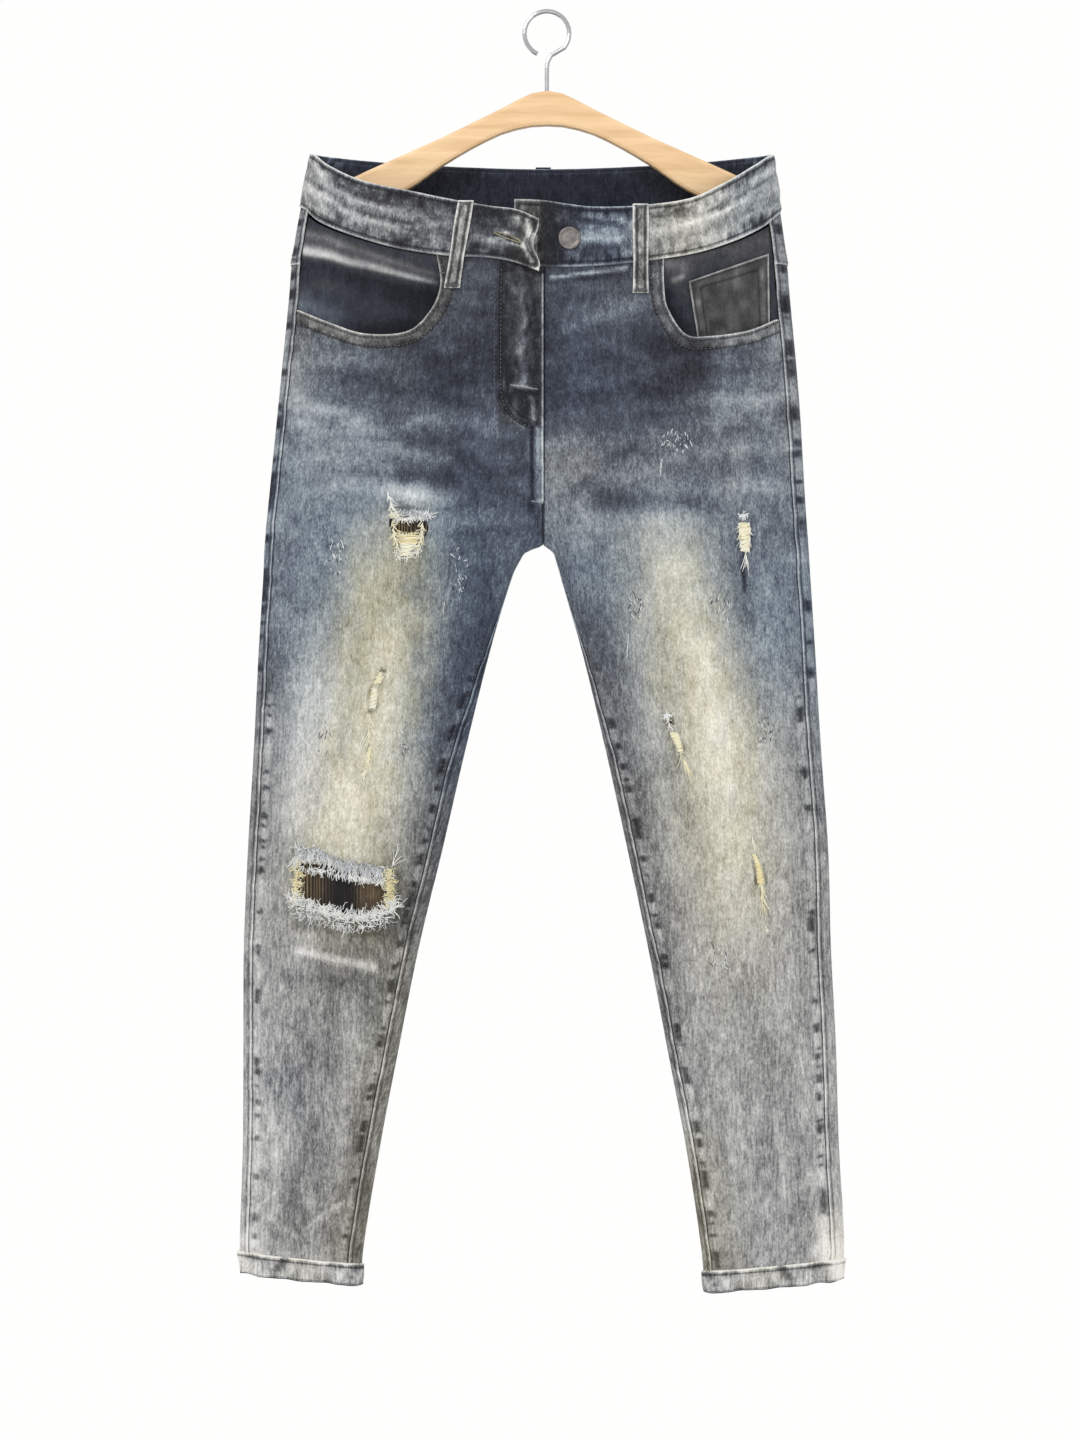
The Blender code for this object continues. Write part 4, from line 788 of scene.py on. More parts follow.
def denim_material(name, contrast=1.0, edge_pale=0.42, lines=()):
    """Washed denim, coloured by the cloth's masks. Lines: a distance mask, where, half-width, change."""
    material, tree, shader = new_material(name, Specular_IOR_Level=0.25)
    weave = woven_of(tree)
    yarn = math_of(tree, "MULTIPLY_ADD", weave.outputs["Yarn"], 0.60 * contrast, -0.30 * contrast)
    heather = math_of(tree, "MULTIPLY_ADD", weave.outputs["Heather"], 0.42 * contrast, -0.21 * contrast)
    twill = math_of(tree, "MULTIPLY_ADD", weave.outputs["Twill"], 0.03, -0.015)
    tone = math_of(tree, "ADD", math_of(tree, "ADD", attribute_of(tree, "pale"), yarn),
                   math_of(tree, "ADD", heather, twill))
    where_on = add_node(tree, "ShaderNodeSeparateXYZ", {0: add_node(tree, "ShaderNodeTexCoord").outputs["Object"]})
    leg = math_of(tree, "MULTIPLY_ADD", where_on.outputs[2], -2.6, -0.95, clamp=True)
    leg = math_of(tree, "MULTIPLY_ADD", leg, 0.36 * contrast, 0.14 * contrast)
    leg = math_of(tree, "MULTIPLY", leg, math_of(tree, "MULTIPLY_ADD", attribute_of(tree, "cream"), -0.45, 1.0))
    slub = math_of(tree, "SUBTRACT", weave.outputs["Slub"], 0.5)
    tone = math_of(tree, "ADD", tone, math_of(tree, "MULTIPLY", slub, leg))
    for mask, where, half, change in [("edge", 0.0, 0.0016, edge_pale), *lines]:
        off = math_of(tree, "ABSOLUTE", math_of(tree, "SUBTRACT", attribute_of(tree, mask), where))
        close = math_of(tree, "SUBTRACT", 1.0, math_of(tree, "DIVIDE", off, half), clamp=True)
        tone = math_of(tree, "ADD", tone, math_of(tree, "MULTIPLY", math_of(tree, "POWER", close, 0.7), change))
    colours = []
    for group in (indigo_wash, grey_wash, cream_wash):
        wash = add_node(tree, "ShaderNodeGroup", {"Pale": tone}, node_tree=group)
        colours.append(wash.outputs["Colour"])
    last = colours[0]
    for colour, mask in ((colours[1], "grey"), (colours[2], "cream")):
        mix = add_node(tree, "ShaderNodeMix", {0: attribute_of(tree, mask), 6: last, 7: colour}, data_type="RGBA")
        last = mix.outputs[2]
    tree.links.new(last, shader.inputs["Base Color"])
    rough = math_of(tree, "MULTIPLY_ADD", weave.outputs["Heather"], 0.12, 0.78)
    tree.links.new(rough, shader.inputs["Roughness"])
    height = math_of(tree, "ADD", math_of(tree, "MULTIPLY", weave.outputs["Twill"], 0.35), weave.outputs["Yarn"])
    bump = add_node(tree, "ShaderNodeBump", {"Strength": 0.45, "Distance": 0.0006, "Height": height})
    tree.links.new(bump.outputs["Normal"], shader.inputs["Normal"])
    return material


def reverse_material():
    """The denim's unfaded inner side, where white cross yarns show between the blue, darkened by painted shade."""
    material, tree, shader = new_material("denim reverse", Roughness=0.9)
    weave = woven_of(tree)
    wash = add_node(tree, "ShaderNodeGroup", node_tree=indigo_wash)
    yarn = math_of(tree, "MULTIPLY_ADD", weave.outputs["Yarn"], 0.22, -0.07)
    tree.links.new(math_of(tree, "MULTIPLY_ADD", weave.outputs["Twill"], 0.05, yarn), wash.inputs["Pale"])
    tree.links.new(wash.outputs["Colour"], shader.inputs["Base Color"])
    bump = add_node(tree, "ShaderNodeBump", {"Strength": 0.4, "Distance": 0.0005, "Height": weave.outputs["Twill"]})
    tree.links.new(bump.outputs["Normal"], shader.inputs["Normal"])
    return material


front_denim = denim_material("washed denim, fronts", lines=[
    ("seam", 0.0, 0.0017, -0.38), ("mouth", 0.0028, 0.0011, -0.22), ("mouth", 0.0102, 0.0013, -0.26),
    ("fly", 0.0, 0.0018, -0.24), ("fly", 0.0052, 0.0013, -0.20)])
back_denim = denim_material("washed denim, backs", lines=[
    ("seam", 0.0, 0.0015, 0.30), ("seam", 0.0031, 0.0012, -0.22)])
reverse = reverse_material()


def panel_points(side, start_of, end_of, top_of, bottom_of, rows, columns):
    """Grid of angles and heights between two seams and two end lines, and its UV in metres."""
    reach = np.linspace(-0.10, -1.06, 330)
    angles, runs = even_angles(side, reach, start_of(reach), end_of(reach), columns)
    flip = reach[::-1]
    z = np.empty((rows, columns))
    angle, run = np.empty_like(z), np.empty_like(z)
    down = np.linspace(0.0, 1.0, rows)
    for column in range(columns):
        top, bottom = -0.2, -1.03
        for _ in range(6):
            top_angle = np.interp(top, flip, angles[::-1, column])
            bottom_angle = np.interp(bottom, flip, angles[::-1, column])
            top = float(top_of(top_angle, column / (columns - 1)))
            bottom = float(bottom_of(bottom_angle))
        z[:, column] = top + (bottom - top) * down
        angle[:, column] = np.interp(z[:, column], flip, angles[::-1, column])
        run[:, column] = np.interp(z[:, column], flip, runs[::-1, column])
    return angle, z, np.stack([run + (0.6 if side == "left" else 0.0), -z], -1), run


# The centre seam's worn edge runs between these heights, from below the band to above the crotch
WORN_TOP, WORN_END = -0.218, -0.4045


def make_front(side):
    """One front panel, with its pocket opening cut away and, on the right leg, its rips."""
    rows, columns = 350, 94

    def top_of(angle, _):
        return table_read(WAIST, band_angle(side, -angle), 2) + BAND_TUCK

    def leg_end(angle):
        return hem_line(side, x_at(side, -angle, np.array(ANKLE)), HEM_HEIGHT - 0.002)

    angle, z, uv, run = panel_points(
        side, lambda h: outseam_angle(side, h), lambda h: inner_seam_angle(side, h), top_of, leg_end, rows, columns)
    x = x_at(side, angle, z)
    mouth = curve_through(MOUTH[side], 10)
    beyond = -INWARD[side] * 0.06
    opening = np.vstack([mouth, [(mouth[-1][0] + beyond, mouth[-1][1]), (mouth[-1][0] + beyond, -0.10),
                                 (mouth[0][0], -0.10)]])
    cuts = [(opening, 0.0)]
    if side == "right":
        cuts += [(rounded(KNEE_HOLE), 0.0007), (rounded(THIGH_HOLE), 0.0007)]
    edge, torn = np.full(x.shape, 1.0), np.full(x.shape, 1.0)
    kept = np.ones((rows - 1, columns - 1), bool)
    snapped = np.zeros(x.shape, bool)
    new_x, new_z = x.copy(), z.copy()
    for outline, ragged in cuts:
        far, near = edge_reach(outline, x, z)
        cells = far[:-1, :-1] + far[1:, :-1] + far[:-1, 1:] + far[1:, 1:] > 0
        kept &= cells
        touched, gone = np.zeros(x.shape, bool), np.zeros(x.shape, bool)
        for down in (0, 1):
            for over in (0, 1):
                touched[down:rows - 1 + down, over:columns - 1 + over] |= cells
                gone[down:rows - 1 + down, over:columns - 1 + over] |= ~cells
        brink = touched & gone
        snapped |= brink
        wander = ragged * np.stack([grain(x, z, 0.0021, 51), grain(x, z, 0.0021, 52)], -1)
        new_x[brink], new_z[brink] = (near + wander)[brink].T
        away = np.where(brink, 0.0, np.abs(far))
        if ragged:
            torn = np.minimum(torn, away)
        else:
            edge = away
    x, z = new_x, new_z
    angle = np.where(snapped, angle_at(side, x, z), angle)
    from_mouth = np.abs(edge_reach(mouth, x, z, False)[0])
    if side == "right":
        edge = np.minimum(edge, np.where((z < WORN_TOP) & (z > WORN_END), (run[:, -1:] - run) - 0.0002, 1.0))
    spot, out = cloth_spot(side, -angle, z)
    lip = 0.0006 * hump(from_mouth, 0.0032) - 0.0004 * hump(from_mouth - 0.0100, 0.0016)
    curl = 0.0010 * hump(torn, 0.0030) * (0.4 + 0.6 * grain(x, z, 0.006, 54))
    turn = band_angle(side, -angle)
    tuck = np.minimum(table_read(WAIST, turn, 3), 0.0) - 0.0004
    tuck = tuck * ease(z, table_read(WAIST, turn, 2) - 0.014, table_read(WAIST, turn, 2) - 0.001)
    outer = spot + out * (lip + curl + tuck)[..., None]
    pale, grey, cream = wash_masks(side, -angle, z)
    band = hump(np.maximum(from_mouth - 0.0095, 0), 0.0012)
    rubbed = 0.5 + 0.5 * grain(x, z, 0.0060, 55)
    pale = (pale + band * (0.15 * rubbed - (0.06 if side == "right" else 0.0))
            - 0.16 * ease(grain(x, z, 0.0048, 56), 0.1, 0.6) * hump(from_mouth - 0.0100, 0.0030))
    grey = np.clip(grey + (0.5 if side == "right" else 0.3) * band, 0, 1)
    cream = np.clip(cream + 0.08 * band, 0, 1)
    frayed = hump(torn, 0.0055) * (0.8 + 0.3 * grain(x, z, 0.0032, 57))
    pale = pale + (0.56 - pale) * np.clip(frayed, 0, 1)
    from_inner = run[:, -1:] - run
    # On the left front the seam's dark line runs up the centre too; beside the fly's raised edge it is painted shadow
    # as well as the seam
    from_seam = np.minimum(run, np.where(z < WORN_END, from_inner, 1.0 if side == "right" else from_inner))
    waist_seam = z[:1, :] - BAND_TUCK - z
    # Painted shadow just under the waistband
    pale = pale - 0.13 * hump(waist_seam, 0.0035)
    return cloth_wall(f"front_{side}_cloth", outer, outer - out * CLOTH, grid_faces(rows, columns, kept), uv,
                      {"pale": np.clip(pale, 0.02, 1), "grey": grey, "cream": cream, "seam": from_seam, "edge": edge,
                       "mouth": from_mouth, "fly": fly_off(x, z) if side == "right" else np.full(x.shape, 1.0)},
                      [front_denim, reverse], node=f"front_{side}")


fronts = {side: make_front(side) for side in SIDES}

# ---------------------------------------------------------------- backs and yokes
# Each back is one long panel below a yoke, and wraps a little way round onto the front at
# both seams. The yoke is a separate strip under the waistband, sewn down on the panel.
FOLD_SHARE = 1 / 13


def yoke_line(share):
    """Height of the yoke's lower edge, lower at the centre back."""
    return -0.2080 - 0.0400 * ease(share, 0.05, 1.0)


def back_end(side, z):
    """Angle from the outer fold round the back to the inner seam."""
    end = inner_seam_angle(side, z)
    return np.where(z < CROTCH, 2 * pi - end, end)


def back_share(side, angle, z):
    """Share of the way across the back panel, from its edge on the front to the inner seam."""
    start, end = outseam_angle(side, z), back_end(side, z)
    share = np.where(angle < 0, FOLD_SHARE * (1 + angle / start), FOLD_SHARE + (1 - FOLD_SHARE) * angle / end)
    return np.clip(share, 0.0, 1.0)


def make_back(side):
    """One back panel and its yoke."""
    made = []
    for part in ("back", "yoke"):
        rows, columns = (300, 86) if part == "back" else (34, 86)

        def top_of(angle, _):
            if part == "back":
                return yoke_line(back_share(side, angle, np.array(-0.23))) + 0.003
            return table_read(WAIST, band_angle(side, angle), 2) + BAND_TUCK

        def end_of(angle):
            if part == "back":
                return hem_line(side, x_at(side, angle, np.array(ANKLE)), HEM_HEIGHT - 0.002)
            return yoke_line(back_share(side, angle, np.array(-0.23)))

        angle, z, uv, run = panel_points(
            side, lambda h: -outseam_angle(side, h), lambda h: back_end(side, h), top_of, end_of, rows, columns)
        spot, out = cloth_spot(side, angle, z)
        from_seam = np.minimum(run, np.where(z < CROTCH, run[:, -1:] - run, 1.0))
        roll = 0.0006 * hump(from_seam, 0.0030)
        if part == "yoke":
            roll = roll + 0.0009 * hump(z - z[-1:, :], 0.010)
        outer = spot + out * roll[..., None]
        pale, grey, cream = wash_masks(side, angle, z)
        edge = np.full(z.shape, 1.0)
        if part == "yoke":
            edge = z - z[-1:, :]
        made.append(cloth_wall(f"{part}_{side}_cloth", outer, outer - out * CLOTH, grid_faces(rows, columns), uv,
                               {"pale": pale, "grey": grey, "cream": cream, "seam": from_seam, "edge": edge},
                               [back_denim, reverse], node=f"{part}_{side}"))
    return made


backs = {side: make_back(side) for side in SIDES}

# ---------------------------------------------------------------- waistband
# A straight strip folded double over the tops of the panels and stitched along both edges.
# Its right end laps over the left at the front, and droops because the button is undone.
def band_skin(turn, height):
    """Points on the middle of the waistband's wall and the directions facing out."""
    turn, height = np.broadcast_arrays(np.asarray(turn, float), np.asarray(height, float))
    top, bottom = table_read(WAIST, turn, 1), table_read(WAIST, turn, 2)
    z = bottom + (top - bottom) * height
    spot_left, out_left = skin_spot("left", np.radians(np.minimum(turn, 90.0)), z)
    spot_right, out_right = skin_spot("right", np.radians(180 - np.maximum(turn, 90.0)), z)
    on_left = (turn <= 90)[..., None]
    spot, out = np.where(on_left, spot_left, spot_right), np.where(on_left, out_left, out_right)
    return spot + out * table_read(WAIST, turn, 3)[..., None], out


# Creases along the band: X and height of two ends, half-width, height
BAND_CREASES = table("tttttt", [
    (-1631, -1574, -1041, -1689, 28, 11), (-1566, -1738, -943, -1869, 28, 11), (-1861, -1468, -1631, -1591, 28, -12),
    (-1943, -1443, -1648, -1673, 30, 9), (-1927, -1230, -1697, -1410, 30, 8), (-1812, -1295, -1484, -1492, 26, -8),
    (-1402, -1541, -779, -1607, 35, -9), (-1271, -1804, -1041, -1837, 20, -8), (-1057, -1787, -779, -1755, 30, 9),
    (-582, -1738, -418, -1689, 30, -10), (-565, -1886, -303, -1951, 28, 12), (-549, -1820, -385, -1853, 20, -10),
    (-254, -1689, -106, -1902, 28, 15), (-172, -1951, -73, -2165, 26, 16), (-319, -1984, -139, -2165, 35, -16),
    (-205, -1755, -139, -1886, 16, -12), (-90, -1790, -60, -2080, 14, -10), (861, -1738, 1419, -1640, 30, -10),
    (1419, -1640, 1862, -1345, 30, -10), (861, -1853, 1304, -1738, 40, 9), (1337, -1722, 1878, -1459, 30, 10),
    (1550, -1705, 1878, -1558, 22, -10), (1616, -1722, 1911, -1607, 30, 9), (200, -1900, 660, -1930, 60, 7)])
# Painted highlights on the band's creases and crumpled end and painted shade in their
# hollows, with pale and dark marks of wear: the same columns
BAND_LIGHT_AND_WEAR = table("ttttth", [
    (-426, -1838, -333, -1862, 12, 34), (-333, -1862, -212, -1918, 12, 34), (-420, -1866, -215, -1944, 11, -42),
    (-400, -1892, -220, -1966, 10, 22), (-160, -1756, -112, -1880, 24, 34), (-112, -1880, -170, -1962, 22, 30),
    (-184, -1980, -128, -2110, 20, 30), (-128, -2110, -78, -2190, 20, 28), (-70, -1800, -95, -1930, 12, 22),
    (-95, -1930, -66, -2120, 12, 26), (-140, -1760, -90, -1850, 12, -24), (-212, -2017, -156, -2150, 24, -30),
    (-137, -1990, -95, -2100, 12, -30), (-185, -1770, -230, -1880, 15, -22), (-230, -1755, -225, -1850, 14, 16),
    (-575, -1663, -350, -1719, 40, -14), (-594, -1877, -445, -1933, 20, 18), (-445, -1933, -290, -1989, 20, 16),
    (-594, -1960, -240, -2030, 30, -16), (-600, -1780, -450, -1800, 26, -12), (-360, -1770, -330, -1810, 20, -16),
    (-290, -1730, -300, -1790, 16, 12), (-1916, -1262, -1820, -1402, 24, 14), (-1820, -1402, -1629, -1525, 22, 12),
    (-1848, -1498, -1629, -1676, 24, 14), (-1629, -1676, -1246, -1812, 24, 10), (-1684, -1457, -1356, -1600, 22, -16),
    (-1356, -1600, -1082, -1683, 24, -18), (-1600, -1560, -1250, -1690, 18, 12), (-1540, -1680, -1330, -1730, 18,
     -16), (-1240, -1640, -960, -1730, 20, 10), (-1280, -1740, -1000, -1790, 20, -14),
    (-1140, -1800, -900, -1800, 18, 14), (-1010, -1670, -850, -1740, 30, -14), (-1960, -1500, -1900, -1600, 30, -12),
    (290, -1720, 610, -1750, 24, 18), (260, -1790, 560, -1840, 22, 16), (300, -1905, 600, -1900, 26, 12),
    (280, -1660, 660, -1670, 22, -16), (300, -1750, 640, -1790, 14, -12), (200, -1960, 660, -1975, 30, -14),
    (880, -1720, 1200, -1640, 14, -16), (1040, -1800, 1340, -1700, 22, 12), (1200, -1730, 1500, -1590, 14, -12),
    (1340, -1710, 1620, -1560, 20, 12), (1500, -1660, 1800, -1470, 18, -20), (1560, -1560, 1820, -1380, 16, -16),
    (1640, -1420, 1900, -1290, 20, 10), (1000, -1900, 1300, -1830, 18, -14), (1700, -1620, 1900, -1530, 26, 10)])
# X, how pale, how grey, how cream the front of the band is. Its darkest place, near the
# centre, is painted shade under the band's lapped end
BAND_SHADE = np.array(table("thhh", [
    (-2050, 60, 95, 12), (-1900, 53, 85, 5), (-1650, 44, 75, 0), (-1350, 39, 88, 0), (-1050, 37, 85, 0),
    (-800, 33, 72, 0), (-600, 29, 70, 0), (-350, 26, 65, 5), (-120, 34, 90, 15), (40, 13, 60, 0), (200, 22, 30, 0),
    (320, 32, 20, 0), (600, 34, 18, 0), (740, 38, 50, 5), (880, 52, 85, 20), (1150, 65, 95, 30), (1400, 62, 75, 20),
    (1650, 55, 50, 5), (1950, 56, 70, 5)]))

# Distance along the band at turns, taken at half its height
band_turns_fine = np.linspace(-97.0, 269.0, 1500)
band_path = band_skin(band_turns_fine, 0.5)[0]
band_runs = np.concatenate([[0.0], np.cumsum(np.linalg.norm(np.diff(band_path, axis=0), axis=1))])


def band_run(turn):
    """Distance along the band of an angle round the waist."""
    return np.interp(turn, band_turns_fine, band_runs)


def band_relief(turn, height):
    """Creases, slack and stitched rows of the band."""
    spot = band_skin(turn, height)[0]
    front = spot[..., 1] < 0
    run, tall = band_run(turn), height * 0.045
    high = np.where(front, stroke_sum(BAND_CREASES, spot[..., 0], spot[..., 2]), 0.0)
    high = high + 0.0006 * np.sin(pi * np.clip(height, 0, 1))
    high += 0.0007 * grain(run * 0.5, tall, 0.0085, 61) + 0.00035 * grain(run * 0.8, tall, 0.0045, 62)
    rows = hump(height - 0.075, 0.03) + hump(height - 0.925, 0.03)
    return high - 0.0005 * rows * (0.7 + 0.5 * grain(run, 0.0 * run, 0.005, 66))


def band_place(turn, height, rise):
    """Point at a rise from the waistband's middle, with its creases, and the outward direction."""
    spot, out = band_skin(turn, height)
    loose = 0.0016 * ease(turn, 258.0, 269.0) * np.sin(11 * height + 0.6)
    pulled = 0.0050 * hump(height - 0.52, 0.20) - 0.0010 * hump(height - 0.14, 0.10)
    spot[..., 0] -= ease(turn, 262.0, 269.0) * pulled
    return spot + out * (rise + loose + band_relief(turn, height) * np.clip(rise / 0.0012, 0.4, 1.0))[..., None], out


def rolled_profile(steps, half, round_off):
    """Cross-section of cloth folded double, as heights from 0 to 1 and rises, once round."""
    outer = [(round_off + (1 - 2 * round_off) * i / steps, half) for i in range(steps + 1)]
    top = [(1 - round_off * 0.4, half * 0.8), (1.0, 0.0), (1 - round_off * 0.4, -half * 0.8)]
    inner = [(height, -half) for height, _ in outer[::-2]]
    bottom = [(round_off * 0.4, -half * 0.8), (0.0, 0.0), (round_off * 0.4, half * 0.8)]
    return np.array(outer + top + inner + bottom), len(outer) + 2


def face_outward(mesh):
    """Turns a closed mesh's faces outwards."""
    work = bmesh.new()
    work.from_mesh(mesh)
    bmesh.ops.recalc_face_normals(work, faces=work.faces)
    work.to_mesh(mesh)
    work.free()


def swept_band(name, place, turns, runs, tall, profile, outside, masks, materials, node):
    """Tube of a folded cross-section carried round some turns, with its ends closed."""
    across, around = len(turns), len(profile)
    turn = np.repeat(turns[:, None], around, 1)
    height = np.repeat(profile[None, :, 0], across, 0)
    rise = np.repeat(profile[None, :, 1], across, 0)
    points, _ = place(turn, height, rise)
    index = np.arange(across * around).reshape(across, around)
    after = np.roll(index, -1, 1)
    quads = np.stack([index[:-1], index[1:], after[1:], after[:-1]], -1).reshape(-1, 4)
    faces = [tuple(q) for q in quads.tolist()] + [tuple(index[0].tolist()), tuple(index[-1][::-1].tolist())]
    inner = np.zeros(len(faces), np.int32)
    inner[:len(quads)] = np.where(np.tile(np.arange(around) >= outside, across - 1), len(materials) - 1, 0)
    uv = np.stack([np.repeat(runs[:, None], around, 1), height * tall], -1).reshape(-1, 2)
    mesh = cloth_mesh(name, points.reshape(-1, 3), faces, inner, masks(turn, height, rise), uv, materials)
    face_outward(mesh)
    return hung(mesh, node)


def band_masks(turn, height, rise):
    """How pale, grey and cream the band is, and the distance in from its edges."""
    spot = band_skin(turn, height)[0]
    front = ease(-spot[..., 1], -0.004, 0.004)
    x, run, tall = spot[..., 0], band_run(turn), height * 0.045
    shade = [table_read(BAND_SHADE, x, column) * front + value * (1 - front)
             for column, value in ((1, 0.42), (2, 0.45), (3, 0.0))]
    # Paler on the band's raised creases and darker in their hollows, wear with painted light and shade; then the
    # listed painted highlights, shade and wear marks
    pale = shade[0] + 0.15 * np.clip(band_relief(turn, height) / 0.0013, -1, 1)
    pale += stroke_sum(BAND_LIGHT_AND_WEAR, x, spot[..., 2]) * front
    pale += 0.06 * grain(run, tall, 0.0042, 63) + 0.12 * grain(run * 0.25, tall, 0.0040, 64)
    off = np.minimum(height, 1 - height) * 0.045
    rows = hump(off - 0.0044, 0.0018)
    pale -= 0.34 * rows * ease(grain(run, 0.0 * run, 0.0034, 65), -0.2, 0.5)
    bunches = hump(off - 0.0085, 0.0040) * ease(grain(run + 0.3 * tall, 0.0 * run, 0.0044, 67), 0.1, 0.7)
    pale -= 0.22 * bunches
    # Inside the band: unwashed indigo, darkened further by painted shade
    inside = ease(rise, 0.0002, -0.0004)
    speckled = ease(grain(run, tall, 0.0030, 69), 0.0, 0.6) * (rows + 1.2 * hump(np.abs(x + 0.004) - 0.176, 0.012))
    pale = pale + (0.085 + 0.04 * grain(run, tall, 0.006, 68) + 0.20 * speckled - pale) * inside
    shadow = hump(x, 0.008) * front * (turn < 0)
    edge = np.minimum(off, np.abs(band_runs[-1] - run))
    edge = np.minimum(edge, np.where(turn < 0, run, 1.0))
    return {"pale": np.clip(pale - 0.18 * shadow, 0.03, 1), "grey": np.clip(shade[1], 0, 1) * (1 - 0.8 * inside),
            "cream": np.clip(shade[2], 0, 1), "edge": edge}


band_denim = denim_material("washed denim, waistband", contrast=1.15, edge_pale=0.50,
                            lines=[("edge", 0.0034, 0.0012, -0.24)])
band_inside = denim_material("unwashed denim, inside the waistband", contrast=0.7, edge_pale=0.30,
                             lines=[("edge", 0.0042, 0.0009, 0.10)])
band_profile, band_outside = rolled_profile(18, 0.0012, 0.020)
band_even = np.linspace(0.0, 1.0, 400)
band_even = (band_even + 0.045 * np.sin(2 * pi * band_even) * (band_even > 0.5)
             - 0.02 * np.sin(2 * pi * band_even) * (band_even <= 0.5))
band_stops = band_even * band_runs[-1]
waistband = swept_band("waistband_cloth", band_place, np.interp(band_stops, band_runs, band_turns_fine), band_stops,
                       0.045, band_profile, band_outside, band_masks, [band_denim, band_inside], "waistband")

# ---------------------------------------------------------------- hems
# Each leg ends in a narrow hem turned up twice and stitched once, worn pale along its folds.
# The stitching draws it up into short slanting bunches.
def make_hem(side):
    """One hem, turned up round the leg's end."""
    fine = np.linspace(-pi + 0.02, pi - 0.02, 600)

    def skin_at(turn, height):
        z = hem_line(side, x_at(side, turn, np.array(ANKLE)), 0.0) + HEM_HEIGHT * height
        return cloth_spot(side, turn, z)

    path = skin_at(fine, 0.5 + 0.0 * fine)[0]
    reach = np.concatenate([[0.0], np.cumsum(np.linalg.norm(np.diff(path, axis=0), axis=1))])

    def place(turn, height, rise):
        spot, out = skin_at(turn, height)
        run = np.interp(turn, fine, reach)
        bunch = 0.0013 * grain(run + 0.010 * height, 0.0 * run, 0.0085, 71)
        bunch = bunch + 0.0005 * grain(run, height * 0.018, 0.0045, 73)
        spot[..., 2] += 0.0011 * (1 - np.clip(height, 0, 1)) * grain(run, 0.0 * run, 0.0110, 78)
        return spot + out * (0.0002 + rise + np.where(rise > 0, bunch, 0.0))[..., None], out

    def masks(turn, height, rise):
        run, x = np.interp(turn, fine, reach), skin_at(turn, height)[0][..., 0]
        share = (x - ring(side, ANKLE)[0]) / (ring(side, ANKLE)[1] - ring(side, ANKLE)[0])
        pale = 0.68 + 0.12 * grain(run, 0.018 * height, 0.0085, 74) + 0.09 * grain(run, 0.018 * height, 0.004, 75)
        # Paler on the raised bunches and darker between them: wear on their ridges, with painted light and shade
        pale = pale + 0.17 * grain(run + 0.010 * height, 0.0 * run, 0.0085, 71)
        pale = pale - 0.22 * hump(height - 0.78, 0.08) * ease(grain(run, 0 * run, 0.005, 76), -0.2, 0.5)
        ends = 0.32 * ease(share, 0.22, 0.0) - 0.14 * ease(share, 0.75, 1.0)
        cream = 0.10 + 0.20 * grain(run, 0.018 * height, 0.02, 77) + 0.25 * ends + 0.35 * hump(height - 1.0, 0.10)
        return {"pale": np.clip(pale + ends, 0.05, 1), "grey": np.ones(turn.shape), "cream": np.clip(cream, 0, 1),
                "edge": np.minimum(height * 2.0, 1 - height) * HEM_HEIGHT}

    profile, outside = rolled_profile(8, 0.0010, 0.05)
    stops = np.linspace(0.0, reach[-1], 190)
    return swept_band(f"hem_{side}_cloth", place, np.interp(stops, reach, fine), stops, HEM_HEIGHT, profile,
                      outside, masks, [band_denim, reverse], f"hem_{side}")


hems = {side: make_hem(side) for side in SIDES}

# ---------------------------------------------------------------- front pocket facings
# Dark unwashed denim behind each pocket opening. The pockets gape, and the right one is
# pulled into a soft slanting fold, with its highlight and the shade below it painted on.
GAPE = {"right": 0.0130, "left": 0.0100}
LOOSE = 0.0008
# Folds and painted lights and shade of the facings: two ends, half-width, height or change
FACING_FOLDS = {
    "right": table("tttttt", [
        (-2060, -1950, -1500, -2095, 75, 30), (-1500, -2095, -900, -2260, 55, 36),
        (-2000, -1800, -1400, -1950, 50, 12), (-1900, -2360, -1400, -2520, 100, -16)]),
    "left": table("tttttt", [
        (1000, -2140, 1120, -2210, 50, 20), (1080, -2320, 1180, -2620, 60, 16), (1200, -1960, 1900, -1830, 70, 10)]),
}
# Painted soft highlights and shade beside the right facing's long streak, and all those of the left one
FACING_PAINTED_LIGHT = {
    "right": table("ttttth", [
        (-2030, -2420, -1780, -2520, 100, 20), (-1850, -2230, -1600, -2310, 60, 7),
        (-1250, -2330, -980, -2400, 100, -12), (-1500, -2640, -1100, -2600, 120, -12)]),
    "left": table("ttttth", [
        (970, -2090, 1120, -2130, 70, 22), (1040, -2230, 1110, -2205, 28, 30), (980, -2400, 1120, -2600, 90, -12),
        (1200, -2000, 1900, -1880, 70, 10), (1500, -2100, 1720, -2040, 60, 5)]),
}
# The right facing's painted highlight streak: X, height, brightness; above it a fainter one
HIGHLIGHT_STREAK = np.array(table("tth", [
    (-2070, -1955, 58), (-2012, -1976, 66), (-1793, -2020, 68), (-1602, -2086, 54), (-1328, -2154, 52),
    (-1055, -2226, 42), (-918, -2258, 28), (-800, -2280, 5)]))


